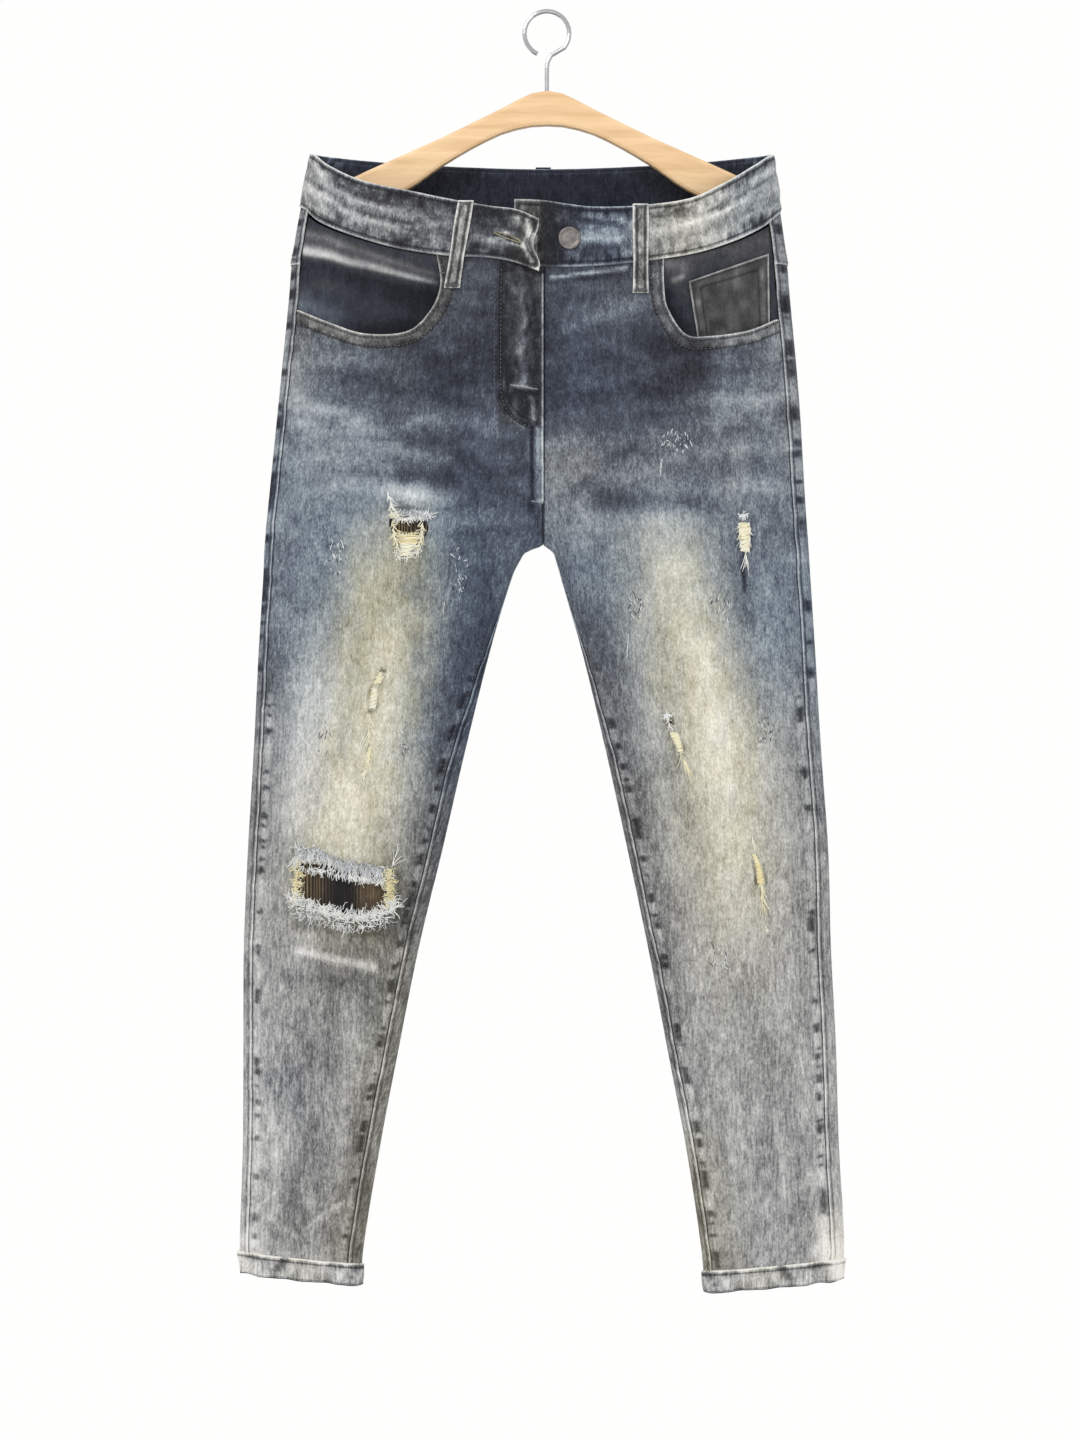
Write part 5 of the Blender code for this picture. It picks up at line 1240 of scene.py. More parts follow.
def painted_streak_light(x, z):
    """Painted light on the right facing's fold: sharp below, soft above, a fainter band higher up, shade below."""
    off = z - np.interp(x, HIGHLIGHT_STREAK[:, 0], HIGHLIGHT_STREAK[:, 1])
    strong = np.interp(x, HIGHLIGHT_STREAK[:, 0], HIGHLIGHT_STREAK[:, 2])
    wide = np.interp(x, (-0.2050, -0.0900), (1.0, 0.45))
    main = hump(off / np.where(off > 0, 0.0068, 0.0034), wide)
    above = hump((off - 0.0155 * wide) / 0.0050, wide)
    below = ease(off, -0.004, -0.010) * ease(off, -0.034, -0.012)
    return strong * (main + 0.42 * above) - 0.09 * below


def pocket_depth(side, x, z):
    """How far a facing lies behind the front: little at the top, much at the mouth."""
    outer = ring(side, z)[0]
    below = table_read(WAIST, band_angle(side, -angle_at(side, x, z)) if side == "left"
                       else 180 + np.degrees(angle_at(side, x, z)), 2) - z
    reach = ease(np.abs(x - outer), 0.008, 0.05) * ease(below, 0.004, 0.045)
    return CLOTH + LOOSE + GAPE[side] * reach


def facing_spot(side, x, z, rise=0.0):
    """Point on a facing, with its folds, and the direction facing out."""
    spot, out = skin_spot(side, -angle_at(side, x, z), z)
    ripple = stroke_sum(FACING_FOLDS[side], x, z) + 0.0004 * grain(x, z, 0.012, 81)
    depth = pocket_depth(side, x, z) - ripple * ease(pocket_depth(side, x, z), 0.002, 0.006)
    back = np.zeros(spot.shape)
    back[..., 1] = depth
    return spot + back + out * np.asarray(rise + 0.0 * x)[..., None], out


dark_denim = denim_material("dark facing denim", contrast=0.5, edge_pale=0.38,
                            lines=[("edge", 0.0024, 0.0008, -0.14), ("edge", 0.0088, 0.0010, -0.14)])
dark_denim.node_tree.nodes["Principled BSDF"].inputs["Sheen Weight"].default_value = 0.25
dark_denim.node_tree.nodes["Principled BSDF"].inputs["Sheen Roughness"].default_value = 0.4


def make_facing(side):
    """One facing, from the waistband down past its pocket's mouth."""
    rows, columns = 56, 80
    inward = INWARD[side]
    inner_x = MOUTH[side][0][0] + inward * 0.016
    side_x = ring(side, np.array(-0.17))[0] + inward * (OUTSEAM_INSET[side] + 0.0010)
    low = min(z for _, z in MOUTH[side]) - 0.016
    across = np.linspace(0.0, 1.0, columns)
    x_top = side_x + (inner_x - side_x) * across
    turn = -np.degrees(angle_at(side, x_top, -0.185 + 0.0 * x_top))
    turn = turn if side == "left" else 180 - turn
    z_top = table_read(WAIST, turn, 2) - 0.0006
    down = np.linspace(0.0, 1.0, rows)[:, None]
    z = z_top[None, :] + (low + 0.010 * (across[None, :] - 0.3) ** 2 - z_top[None, :]) * down
    outer_x = ring(side, z)[0] + inward * (OUTSEAM_INSET[side] + 0.0010)
    x = outer_x + (inner_x - outer_x) * across[None, :]
    spot, out = facing_spot(side, x, z)
    # Painted highlights and shade on the facing, the right one's long highlight streak along its fold, and a little
    # uneven tone
    pale = 0.15 + stroke_sum(FACING_PAINTED_LIGHT[side], x, z) + 0.04 * grain(x, z, 0.010, 82) + 0.03 * grain(x, z, 0.004, 83)
    if side == "right":
        pale = pale + painted_streak_light(x, z) * (1 + 0.10 * grain(x * 0.3, z, 0.0035, 80))
    blue = ease(pale, 0.24, 0.10) if side == "left" else np.maximum(ease(pale, 0.24, 0.10), ease(z, -0.215, -0.235))
    masks = {"pale": np.clip(pale, 0.01, 1), "grey": 0.92 - 0.6 * blue, "cream": np.zeros(x.shape),
             "edge": np.full(x.shape, 1.0)}
    return cloth_wall(f"facing_{side}_cloth", spot, spot - out * CLOTH, grid_faces(rows, columns),
                      np.stack([x, -z], -1), masks, [dark_denim, reverse], f"facing_{side}")


facings = {side: make_facing(side) for side in SIDES}

# ---------------------------------------------------------------- coin pocket
# A small patch of the same dark denim on the left facing, its edges turned in and stitched
# twice. Its lower end goes down behind the pocket's edge.
COIN_CORNERS = [(0.1160, -0.2240), (0.1815, -0.2000), (0.1825, -0.2690), (0.1240, -0.2720)]
COIN_WIDE, COIN_TALL = 0.066, 0.058
GAP = 0.0003


def between(corners, u, v):
    """Place on a four-cornered patch at shares across and down it."""
    (ax, az), (bx, bz), (cx, cz), (dx, dz) = corners
    x = (ax * (1 - u) + bx * u) * (1 - v) + (dx * (1 - u) + cx * u) * v
    z = (az * (1 - u) + bz * u) * (1 - v) + (dz * (1 - u) + cz * u) * v
    return x, z


def coin_brim(u, v):
    """Distance in from the coin pocket's turned edges."""
    return np.minimum(np.minimum(u, 1 - u) * COIN_WIDE, v * COIN_TALL)


def coin_rise(u, v):
    """Height of the pocket above the facing, thick at its turned edges and slack between."""
    brim = coin_brim(u, v)
    fold = 0.0006 * hump(brim - 0.0012, 0.0012) - 0.0003 * hump(brim - 0.0088, 0.0012)
    slack = 0.0007 * grain(u * 0.06 + v * 0.02, v * 0.05, 0.012, 84) + 0.0005 * np.sin(pi * u)
    return GAP + CLOTH + 0.0004 + fold + slack * ease(brim, 0.001, 0.010)


v, u, faces = patch_grid(60, 66)
x, z = between(COIN_CORNERS, u, v)
spot, out = facing_spot("left", x, z, coin_rise(u, v))
brim = coin_brim(u, v)
pale = 0.25 + 0.10 * grain(x, z * 0.6, 0.0050, 85) + 0.07 * grain(x, z, 0.012, 86) + 0.06 * hump(brim - 0.0055, 0.002)
# Paler where the pocket stands higher and darker where it sinks: wear on its turned edges, with painted light and
# shade
pale = pale + 90.0 * (coin_rise(u, v) - GAP - CLOTH - 0.0006)
coin_pocket = cloth_wall(
    "coin_pocket_cloth", spot, spot - out * CLOTH, faces, np.stack([x, -z], -1),
    {"pale": np.clip(pale, 0.01, 1), "grey": np.full(u.shape, 1.0), "cream": np.full(u.shape, 0.03), "edge": brim},
    [dark_denim, reverse], "coin_pocket")

# ---------------------------------------------------------------- back pockets
# Two five-sided patch pockets sewn on the backs with two rows of stitches, their mouths
# turned in. They are worn pale along the edges.
POCKET_OUT, POCKET_HALF = 0.094, 0.060
POCKET_TOP, POCKET_LOW, POCKET_TIP = -0.262, -0.382, -0.398


def pocket_point(side, u, v):
    """Place on a back pocket: u from its outer to its inner edge, v from its mouth down."""
    narrow = 0.006 * v
    x = CENTRE - INWARD[side] * POCKET_OUT + INWARD[side] * (2 * u - 1) * (POCKET_HALF - narrow)
    z_top = POCKET_TOP + 0.006 * (1 - u) - 0.004 * u
    z_low = POCKET_LOW + (POCKET_TIP - POCKET_LOW) * (1 - np.abs(2 * u - 1))
    return x, z_top + (z_low - z_top) * v


def pocket_brim(u, v):
    """Distance in from the pocket's edges."""
    return np.minimum(np.minimum(u, 1 - u) * 0.12, np.minimum(v, 1 - v) * 0.12)


def pocket_rise(u, v):
    """Height of the pocket above the back, thick at its edges and slack at the mouth."""
    brim = pocket_brim(u, v)
    return GAP + CLOTH + 0.0007 * hump(brim - 0.0015, 0.0016) + 0.0012 * np.sin(pi * u) * np.exp(-v * 9)


for side in SIDES:
    v, u, faces = patch_grid(60, 57)
    x, z = pocket_point(side, u, v)
    angle = angle_at(side, x, z)
    spot, out = cloth_spot(side, angle, z, pocket_rise(u, v))
    pale, grey, cream = wash_masks(side, angle, z)
    pale = pale + 0.06 + 0.05 * grain(x, z, 0.008, 87)
    cloth_wall(
        f"back_pocket_{side}_cloth", spot, spot - out * CLOTH, faces, np.stack([x, -z], -1),
        {"pale": np.clip(pale, 0.02, 1), "grey": grey, "cream": cream, "edge": pocket_brim(u, v)},
        [band_denim, reverse], node=f"back_pocket_{side}")

# ---------------------------------------------------------------- fly
# The zip is closed behind the right front's edge, and a shield of denim lies behind it.
# Only their upper ends show, inside the open waist.
def strip_behind(name, left, right, top, low, depth, cloth, level, materials):
    """Flat strip at a depth behind the fronts, across the centre."""
    v, u, faces = patch_grid(60, 18)
    x = left + (right - left) * u
    z = top + (low - top) * v
    spot_right, out_right = cloth_spot("right", -angle_at("right", np.minimum(x, CENTRE - 1e-5), z), z)
    spot_left, out_left = cloth_spot("left", -angle_at("left", np.maximum(x, CENTRE + 1e-5), z), z)
    on_right = (x < CENTRE)[..., None]
    out = np.where(on_right, out_right, out_left)
    spot = np.where(on_right, spot_right, spot_left) - out * depth
    masks = {"pale": np.full(u.shape, level), "grey": np.full(u.shape, 0.3), "cream": np.zeros(u.shape),
             "edge": np.full(u.shape, 1.0)}
    return cloth_wall(f"{name}_cloth", spot, spot - out * cloth, faces, np.stack([x, -z], -1), masks,
                      materials, name)


fly_top = float(table_read(WAIST, 268.0, 2)) - 0.002
fly_shield = strip_behind("fly_shield", CENTRE - 0.034, CENTRE + 0.012, fly_top, -0.350, 0.0038, CLOTH, 0.24,
                          [band_denim, reverse])
zip_tape = coloured("zip tape", lambda tree: woven_of(tree).outputs["Yarn"],
                    [(0.0, (0.010, 0.011, 0.018)), (1.0, (0.045, 0.048, 0.070))], Roughness=0.8)
fly_zip = strip_behind("fly_zip", CENTRE - 0.018, CENTRE + 0.008, fly_top - 0.001, -0.335, 0.0020, 0.0011, 0.2,
                       [zip_tape, zip_tape])

# ---------------------------------------------------------------- belt loops
# Folded strips of the same denim with a row of stitches along each side. Their ends are
# turned under and tacked down above and below the waistband.
LOOP_WIDTH = 0.0125
LOOP_CLOTH = 0.0016
LOOPS = [
    ("loop_front_right", "right", -1, (-0.0660, -0.1590), (-0.0775, -0.2304)),
    ("loop_front_left", "left", -1, (0.0763, -0.1615), (0.0763, -0.2345)),
    ("loop_back_right", "right", 1, (CENTRE - 0.105, -0.1190), (CENTRE - 0.108, -0.1850)),
    ("loop_back_centre", None, 1, (CENTRE, -0.1225), (CENTRE, -0.1890)),
    ("loop_back_left", "left", 1, (CENTRE + 0.105, -0.1190), (CENTRE + 0.108, -0.1850)),
]


def either_side(x, z, face, rise):
    """Points on the plain form at a rise, on whichever side of the centre they lie."""
    spot_right, out_right = skin_spot("right", face * angle_at("right", np.minimum(x, CENTRE - 1e-5), z), z)
    spot_left, out_left = skin_spot("left", face * angle_at("left", np.maximum(x, CENTRE + 1e-5), z), z)
    on_right = (x < CENTRE)[..., None]
    out = np.where(on_right, out_right, out_left)
    return np.where(on_right, spot_right, spot_left) + out * np.asarray(rise)[..., None], out


def loop_place(top, bottom, face, u, v, lift=0.0):
    """Place on a loop: u across from -1 to 1, v down from 0 to 1."""
    x = top[0] + (bottom[0] - top[0]) * v + u * LOOP_WIDTH / 2 * (1 + 0.05 * np.sin(7 * v))
    z = top[1] + (bottom[1] - top[1]) * v
    arch = 0.0012 * np.sin(pi * np.clip(v, 0, 1)) ** 0.6 - 0.0007 * hump(v - 0.82, 0.05)
    ends = -0.0010 * hump(np.minimum(v, 1 - v), 0.03)
    sides = 0.0005 * hump(np.abs(u) - 0.62, 0.22) - 0.0006 * ease(np.abs(u), 0.86, 1.0)
    rough = 0.0003 * grain(x, z, 0.006, 91)
    return either_side(x, z, face, 0.0033 + arch + ends + sides + rough + lift)


for name, _, face, top, bottom in LOOPS:
    v, u, faces = patch_grid(54, 15, -1.0)
    outer, out = loop_place(top, bottom, face, u, v)
    x, z = outer[..., 0], outer[..., 2]
    pale = 0.55 + 0.12 * grain(x, z, 0.005, 92) + 0.06 * grain(x, z, 0.002, 93) - 0.20 * hump(np.abs(u) - 0.60, 0.10)
    # Painted shade where the loop crosses the band's lower edge, and painted shadow at its turned-under lower end
    pale = pale - 0.15 * hump(v - 0.80, 0.06) - 0.18 * ease(v, 0.93, 1.0) + (0.0 if face < 0 else -0.12)
    cloth_wall(
        f"{name}_cloth", outer, outer - out * LOOP_CLOTH, faces, np.stack([x, -z], -1),
        {"pale": pale, "grey": np.full(u.shape, 0.90), "cream": np.full(u.shape, 0.15),
         "edge": np.minimum((1 - np.abs(u)) * LOOP_WIDTH / 2, np.minimum(v * 0.072, 0.0008 + (1 - v) * 0.072))},
        [band_denim, reverse], node=name)

# ---------------------------------------------------------------- patches behind the holes
# Two flat pieces of ribbed brown cloth, seen only through the knee and thigh holes. Each is
# sewn to the inner side of the right front, a little beyond its hole.
BACKING_CLOTH = 0.0010
BACKINGS = [
    ("knee_backing", [(-0.2180, -0.6850), (-0.1170, -0.6870), (-0.1190, -0.7600), (-0.2170, -0.7570)]),
    ("thigh_backing", [(-0.1440, -0.4020), (-0.0830, -0.4040), (-0.0840, -0.4560), (-0.1420, -0.4560)]),
]


def rib_tone(tree):
    """How pale the ribs are, with the weave's uneven yarns."""
    yarn = math_of(tree, "MULTIPLY_ADD", woven_of(tree).outputs["Yarn"], 0.5, -0.25)
    return math_of(tree, "ADD", yarn, attribute_of(tree, "pale"))


rib_cloth = coloured("ribbed brown cloth", rib_tone, [
    (0.10, (0.006, 0.005, 0.006)), (0.50, (0.075, 0.052, 0.030)), (0.95, (0.330, 0.235, 0.130))], Roughness=0.9)


def rib_height(x):
    """Height of the ribs across a patch, from 0 to 1, uneven in width."""
    run = x + 0.0006 * grain(x, 0.0 * x, 0.006, 94)
    return 0.5 + 0.5 * np.sin(run / 0.0026 * 2 * pi)


for name, corners in BACKINGS:
    v, u, faces = patch_grid(46, 200 if name == "knee_backing" else 120)
    x, z = between(corners, u, v)
    rib = rib_height(x)
    spot, out = cloth_spot("right", -angle_at("right", x, z), z, -CLOTH - 0.0008 - 0.0004 * (1 - rib))
    pale = 0.12 + 0.80 * rib ** 1.3 * (0.75 + 0.35 * grain(x, 0.3 * z, 0.006, 95))
    if name == "knee_backing":
        # The knee patch's right part is painted paler and plainer as light falling on it, and its middle is painted
        # dark as shade
        plain = ease(x, -0.158, -0.150)
        pale = pale + (0.46 + 0.10 * rib + 0.08 * grain(x, z, 0.004, 96) - pale) * plain
        pale = pale * (1 - 0.85 * np.exp(-(((x + 0.1675) / 0.0125) ** 4)))
    cloth_wall(
        f"{name}_cloth", spot, spot - out * BACKING_CLOTH, faces, np.stack([x, -z], -1),
        {"pale": np.clip(pale, 0, 1)}, [rib_cloth], name)

# ---------------------------------------------------------------- waist button
# A turned metal button riveted through the waistband's under end: a rim with a rounded edge
# round a slightly sunk face. It is dull and brownish, and the other end hangs free of it.
BUTTON_RADIUS = 0.0093
BUTTON_SIDES = 48
BUTTON_STAND = 0.0015
BUTTON_TURN, BUTTON_LEVEL = -83.85, 0.45
BUTTON_PROFILE = [(0.00, 0.0), (0.62, 0.0), (0.84, 0.0001), (0.96, 0.0005), (1.00, 0.0011), (1.00, 0.0018),
                  (0.97, 0.0025), (0.91, 0.0029), (0.85, 0.0029), (0.80, 0.0026), (0.76, 0.0023),
                  (0.60, 0.0023), (0.40, 0.0024), (0.20, 0.0025), (0.00, 0.0025)]


def lathe(name, profile, base, out, radius, sides, material):
    """Mesh of a turned solid on a base point, standing out along a direction."""
    along = np.cross([1.0, 0.0, 0.0], out)
    along /= np.linalg.norm(along)
    across = np.cross(out, along)
    rings = [base + out * profile[0][1]]
    for share, height in profile[1:-1]:
        for i in range(sides):
            turn = 2 * pi * i / sides
            rings.append(base + out * height + (along * cos(turn) + across * sin(turn)) * share * radius)
    rings.append(base + out * profile[-1][1])
    last = len(rings) - 1
    faces = []
    for i in range(sides):
        after = (i + 1) % sides
        faces.append((0, 1 + i, 1 + after))
        for level in range(len(profile) - 3):
            low = 1 + level * sides
            faces.append((low + i, low + sides + i, low + sides + after, low + after))
        faces.append((last - sides + i, last, last - sides + after))
    mesh = bpy.data.meshes.new(name)
    mesh.from_pydata([tuple(p) for p in rings], [], faces)
    mesh.materials.append(material)
    mesh.shade_smooth()
    face_outward(mesh)
    return mesh


button_metal = coloured("dull button metal", lambda tree: clouds_of(tree, Scale=260.0, Detail=4.0), [
    (0.35, (0.165, 0.147, 0.140)), (0.70, (0.285, 0.265, 0.255))], Metallic=0.85, Roughness=0.42)
button_spot, button_out = band_skin(BUTTON_TURN, BUTTON_LEVEL)
hung(lathe("button_metal", BUTTON_PROFILE, button_spot + button_out * BUTTON_STAND, button_out, BUTTON_RADIUS,
           BUTTON_SIDES, button_metal), "button")

# ---------------------------------------------------------------- hanger
# A flat board of pale lacquered wood with sloping arms and a plain plated wire hook. Only the
# arms show inside the waist, so the rest is finished in the usual way.
def wood_grain(tree):
    """Grain drawn out along the board."""
    place = add_node(tree, "ShaderNodeTexCoord")
    drawn = add_node(tree, "ShaderNodeMapping", {"Scale": (9.0, 60.0, 90.0), "Vector": place.outputs["Object"]})
    return add_node(tree, "ShaderNodeTexNoise", {
        "Scale": 1.6, "Detail": 5.0, "Distortion": 0.6, "Vector": drawn.outputs["Vector"]}).outputs["Fac"]


wood = coloured("pale lacquered wood", wood_grain, [(0.30, (0.72, 0.46, 0.23)), (0.72, (0.93, 0.66, 0.38))],
                Roughness=0.38, Coat_Weight=0.35, Coat_Roughness=0.15)
hook_metal = coloured("plated hook wire", lambda tree: clouds_of(tree, Scale=300.0), [
    (0.0, (0.55, 0.55, 0.57)), (1.0, (0.72, 0.72, 0.74))], Metallic=1.0, Roughness=0.18)
for node, material in (("hanger_board", wood), ("hanger_hook", hook_metal)):
    carried = bpy.data.objects[node]
    for slot_place in carried.material_slots:
        slot_place.material = material

# ---------------------------------------------------------------- frayed edges, slits and picks
# Loose cotton yarns left where the cloth was torn, cut and scraped: blue-white at the upper
# edges, white below, and cream where only the cross yarns are left.
CLUMP = 0.0048
RUNG_STEP = 0.0005
RUNG_RADIUS = 0.00033
# Root path, how many, shortest and longest, spread, heading and its spread, curl, tint at root
# and tip (0 blue, 0.5 white, 1 yellow), lift, radius
FRAYS = {
    "knee": table("pdtttdddhhtf", [
        ([(-2077, -6967), (-2017, -6900), (-1886, -6900), (-1738, -6972), (-1574, -7012), (-1320, -7056)], 330, 65,
         130, 20, -90, 16, 0.6, 18, 52, 24, 34),
        ([(-2077, -6960), (-2010, -6890), (-1880, -6890), (-1738, -6960), (-1300, -7040)], 120, 25, 60, 30, -80, 80,
         1.6, 30, 46, 26, 28),
        ([(-2030, -7030), (-1738, -7080), (-1574, -7110), (-1330, -7150)], 150, 30, 65, 20, -90, 24, 0.9, 48, 53, 20,
         34),
        ([(-2107, -7306), (-1984, -7364), (-1820, -7405), (-1656, -7446), (-1492, -7462), (-1328, -7410),
         (-1246, -7335)], 430, 45, 92, 40, 75, 85, 1.5, 46, 54, 36, 37),
        ([(-2050, -7395), (-1820, -7480), (-1560, -7525), (-1300, -7460)], 110, 40, 80, 22, -85, 60, 1.3, 42, 50, 26,
         26), ([(-2070, -6990), (-2060, -7130), (-2080, -7290)], 110, 40, 80, 30, -30, 80, 1.9, 90, 80, 30, 36),
        ([(-1290, -7060), (-1282, -7200), (-1300, -7350)], 130, 40, 75, 28, 210, 80, 1.9, 94, 82, 30, 36),
        ([(-1279, -7044), (-1262, -7000)], 6, 110, 170, 5, 58, 4, 0.3, 52, 52, 16, 34),
        ([(-2060, -6940), (-2000, -6900)], 8, 60, 120, 20, 120, 50, 0.9, 40, 50, 20, 26)]),
    "thigh": table("pdtttdddhhtf", [
        ([(-1205, -4105), (-1100, -4120), (-960, -4125)], 110, 40, 80, 16, -80, 55, 1.1, 20, 42, 18, 32),
        ([(-1240, -4185), (-1140, -4175), (-1000, -4150)], 80, 25, 50, 10, -88, 35, 0.9, 50, 62, 12, 28),
        ([(-1020, -4140), (-955, -4160)], 26, 35, 70, 12, 5, 50, 1.2, 35, 48, 18, 33),
        ([(-1300, -3965), (-1285, -4030), (-1265, -4090)], 26, 40, 80, 10, -80, 16, 0.5, 52, 55, 14, 34),
        ([(-1290, -4150), (-1230, -4165)], 34, 40, 75, 16, 0, 60, 1.6, 66, 72, 18, 33),
        ([(-1262, -4200), (-1250, -4330), (-1228, -4400)], 60, 35, 65, 10, -75, 24, 0.8, 72, 80, 12, 32),
        ([(-1020, -4200), (-1018, -4320), (-1060, -4420)], 60, 35, 65, 10, -105, 24, 0.8, 70, 78, 12, 32),
        ([(-1222, -4310), (-1130, -4318), (-1045, -4310)], 40, 20, 35, 8, 90, 40, 1.0, 80, 90, 12, 28),
        ([(-1245, -4430), (-1190, -4500), (-1120, -4470), (-1040, -4420)], 60, 30, 60, 16, -90, 70, 1.2, 62, 60, 14,
         28)]),
    "slits": table("pdtttdddhhtf", [
        ([(1585, -4150), (1625, -4158)], 44, 25, 55, 10, -60, 90, 1.6, 40, 50, 18, 32),
        ([(1628, -4455), (1636, -4530)], 10, 80, 150, 4, -88, 3, 0.3, 62, 56, 9, 33),
        ([(1575, -4210), (1580, -4330), (1600, -4440)], 26, 30, 60, 6, -88, 20, 0.6, 60, 66, 13, 30),
        ([(1655, -4210), (1662, -4330), (1645, -4440)], 26, 30, 60, 6, -92, 20, 0.6, 60, 66, 13, 30),
        ([(965, -5790), (1005, -5785)], 36, 22, 50, 10, -70, 90, 1.6, 45, 52, 18, 32),
        ([(985, -5800), (1010, -5880)], 22, 30, 60, 9, -70, 20, 0.8, 55, 60, 10, 28),
        ([(1095, -6080), (1140, -6200)], 16, 80, 170, 5, -69, 7, 0.3, 78, 70, 9, 32),
        ([(1673, -6740), (1700, -6900)], 9, 80, 150, 6, -82, 8, 0.3, 60, 66, 8, 27),
        ([(1752, -7150), (1775, -7350)], 26, 70, 140, 7, -82, 9, 0.4, 84, 70, 10, 32),
        ([(1790, -7500), (1800, -7550)], 10, 30, 60, 6, -84, 40, 1.0, 70, 60, 12, 30),
        ([(-1350, -5440), (-1385, -5480)], 24, 30, 55, 8, -115, 40, 1.0, 74, 80, 14, 32),
        ([(-1450, -5770), (-1458, -5980)], 18, 80, 150, 5, -90, 6, 0.3, 74, 70, 9, 30),
        ([(-1450, -6040), (-1470, -6220)], 40, 50, 100, 12, -100, 14, 0.5, 78, 74, 12, 32),
        ([(-1480, -6230), (-1500, -6270)], 16, 60, 120, 9, -120, 14, 0.6, 74, 66, 12, 28)]),
}
# Cross yarns bared in a slit, like rungs: path down their middle, widest, narrowest, tint, lift
RUNGS = {
    "thigh": table("pttht", [
        ([(-1138, -4316), (-1135, -4385)], 185, 150, 93, 18),
        ([(-1135, -4385), (-1150, -4440), (-1165, -4488)], 150, 70, 70, 14)]),
    "slits": table("pttht", [
        ([(1613, -4215), (1622, -4330), (1624, -4450)], 98, 72, 76, 17),
        ([(1040, -5935), (1070, -6010), (1100, -6095)], 72, 48, 78, 14),
        ([(1700, -6935), (1735, -7030), (1757, -7170)], 30, 66, 92, 13),
        ([(-1362, -5475), (-1395, -5530)], 56, 62, 76, 15),
        ([(-1415, -5570), (-1420, -5660), (-1432, -5735)], 50, 56, 72, 15)]),
}
# Places where the surface was picked: middle, half-width, half-height, how many, tail
PICKS = [
    (0.1065, -0.3550, 0.0130, 0.0095, 46, (0.0930, -0.3690, 0.0155)), (-0.1730, -0.4490, 0.0085, 0.0140, 34, None),
    (-0.0730, -0.4610, 0.0080, 0.0200, 40, (-0.0850, -0.4860, 0.0130)),
    (0.0735, -0.4900, 0.0065, 0.0115, 30, (0.0660, -0.5120, 0.0300)),
    (0.1427, -0.4925, 0.0110, 0.0115, 34, None), (0.1785, -0.5920, 0.0065, 0.0110, 30, (0.1770, -0.6080, 0.0120)),
    (-0.1835, -0.5990, 0.0060, 0.0150, 24, None), (-0.1165, -0.5970, 0.0060, 0.0140, 22, None),
    (0.1400, -0.7770, 0.0095, 0.0135, 34, (0.1335, -0.7950, 0.0100)),
]


def dressed(group, made, material, end):
    """Ends a geometry group: its instances made real, then given their material."""
    whole = add_node(group, "GeometryNodeRealizeInstances", {"Geometry": made})
    dress = add_node(group, "GeometryNodeSetMaterial", {"Geometry": whole.outputs["Geometry"], "Material": material})
    group.links.new(dress.outputs["Geometry"], end.inputs["Geometry"])
    return group


def yarn_group():
    """Thin tubes along loose edges, as thick as each point's radius."""
    group, start, end = make_group("loose yarns", [
        ("Geometry", "Geometry", None), ("Round Sides", "Int", 4), ("Yarn Material", "Material", None)],
        [("Geometry", "Geometry")], "GeometryNodeTree")
    path = add_node(group, "GeometryNodeMeshToCurve", {"Mesh": start.outputs["Geometry"]})
    thick = add_node(group, "GeometryNodeInputNamedAttribute", {"Name": "thick"}, data_type="FLOAT")
    sized = add_node(group, "GeometryNodeSetCurveRadius", {
        "Curve": path.outputs["Curve"], "Radius": thick.outputs["Attribute"]})
    circle = add_node(group, "GeometryNodeCurvePrimitiveCircle", {
        "Resolution": start.outputs["Round Sides"], "Radius": 1.0})
    tube = add_node(group, "GeometryNodeCurveToMesh", {
        "Curve": sized.outputs["Curve"], "Profile Curve": circle.outputs["Curve"], "Fill Caps": True})
    if "Scale" in tube.inputs:
        group.links.new(thick.outputs["Attribute"], tube.inputs["Scale"])
    return dressed(group, tube.outputs["Mesh"], start.outputs["Yarn Material"], end)


def set_inputs(modifier, group, **values):
    """Sets a node group's named inputs on a modifier. Underscores stand for spaces."""
    names = {item.name: item.identifier for item in group.interface.items_tree
             if item.item_type == "SOCKET" and item.in_out == "INPUT"}
    for name, value in values.items():
        modifier[names[name.replace("_", " ")]] = value


def baked(name, mesh, group, slot="denim", **values):
    """Plain mesh object of a mesh put through a node group."""
    holder = bpy.data.objects.new(name, mesh)
    bpy.context.scene.collection.objects.link(holder)
    modifier = holder.modifiers.new("make", "NODES")
    modifier.node_group = group
    set_inputs(modifier, group, **values)
    depsgraph = bpy.context.evaluated_depsgraph_get()
    done = bpy.data.meshes.new_from_object(holder.evaluated_get(depsgraph), depsgraph=depsgraph)
    holder.modifiers.clear()
    holder.data = done
    done.shade_smooth()
    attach(holder, "root")
    return holder


def yarn_mesh(name, strands):
    """Loose edges of strands: points, radius and tint of each."""
    mesh = bpy.data.meshes.new(name)
    points = np.concatenate([strand[0] for strand in strands])
    edges, first = [], 0
    for strand in strands:
        edges += [(first + i, first + i + 1) for i in range(len(strand[0]) - 1)]
        first += len(strand[0])
    mesh.from_pydata(points.tolist(), edges, [])
    for attribute, column in (("thick", 1), ("tint", 2)):
        layer = mesh.attributes.new(attribute, "FLOAT", "POINT")
        layer.data.foreach_set("value", np.concatenate([strand[column] for strand in strands]).astype(np.float32))
    return mesh


def either_front(x, z, rise):
    """Points on the fronts at a rise, on whichever side they lie."""
    right, _ = front_spot("right", np.minimum(x, CENTRE - 1e-4), z, rise)
    left, _ = front_spot("left", np.maximum(x, CENTRE + 1e-4), z, rise)
    return np.where((x < CENTRE)[..., None], right, left)


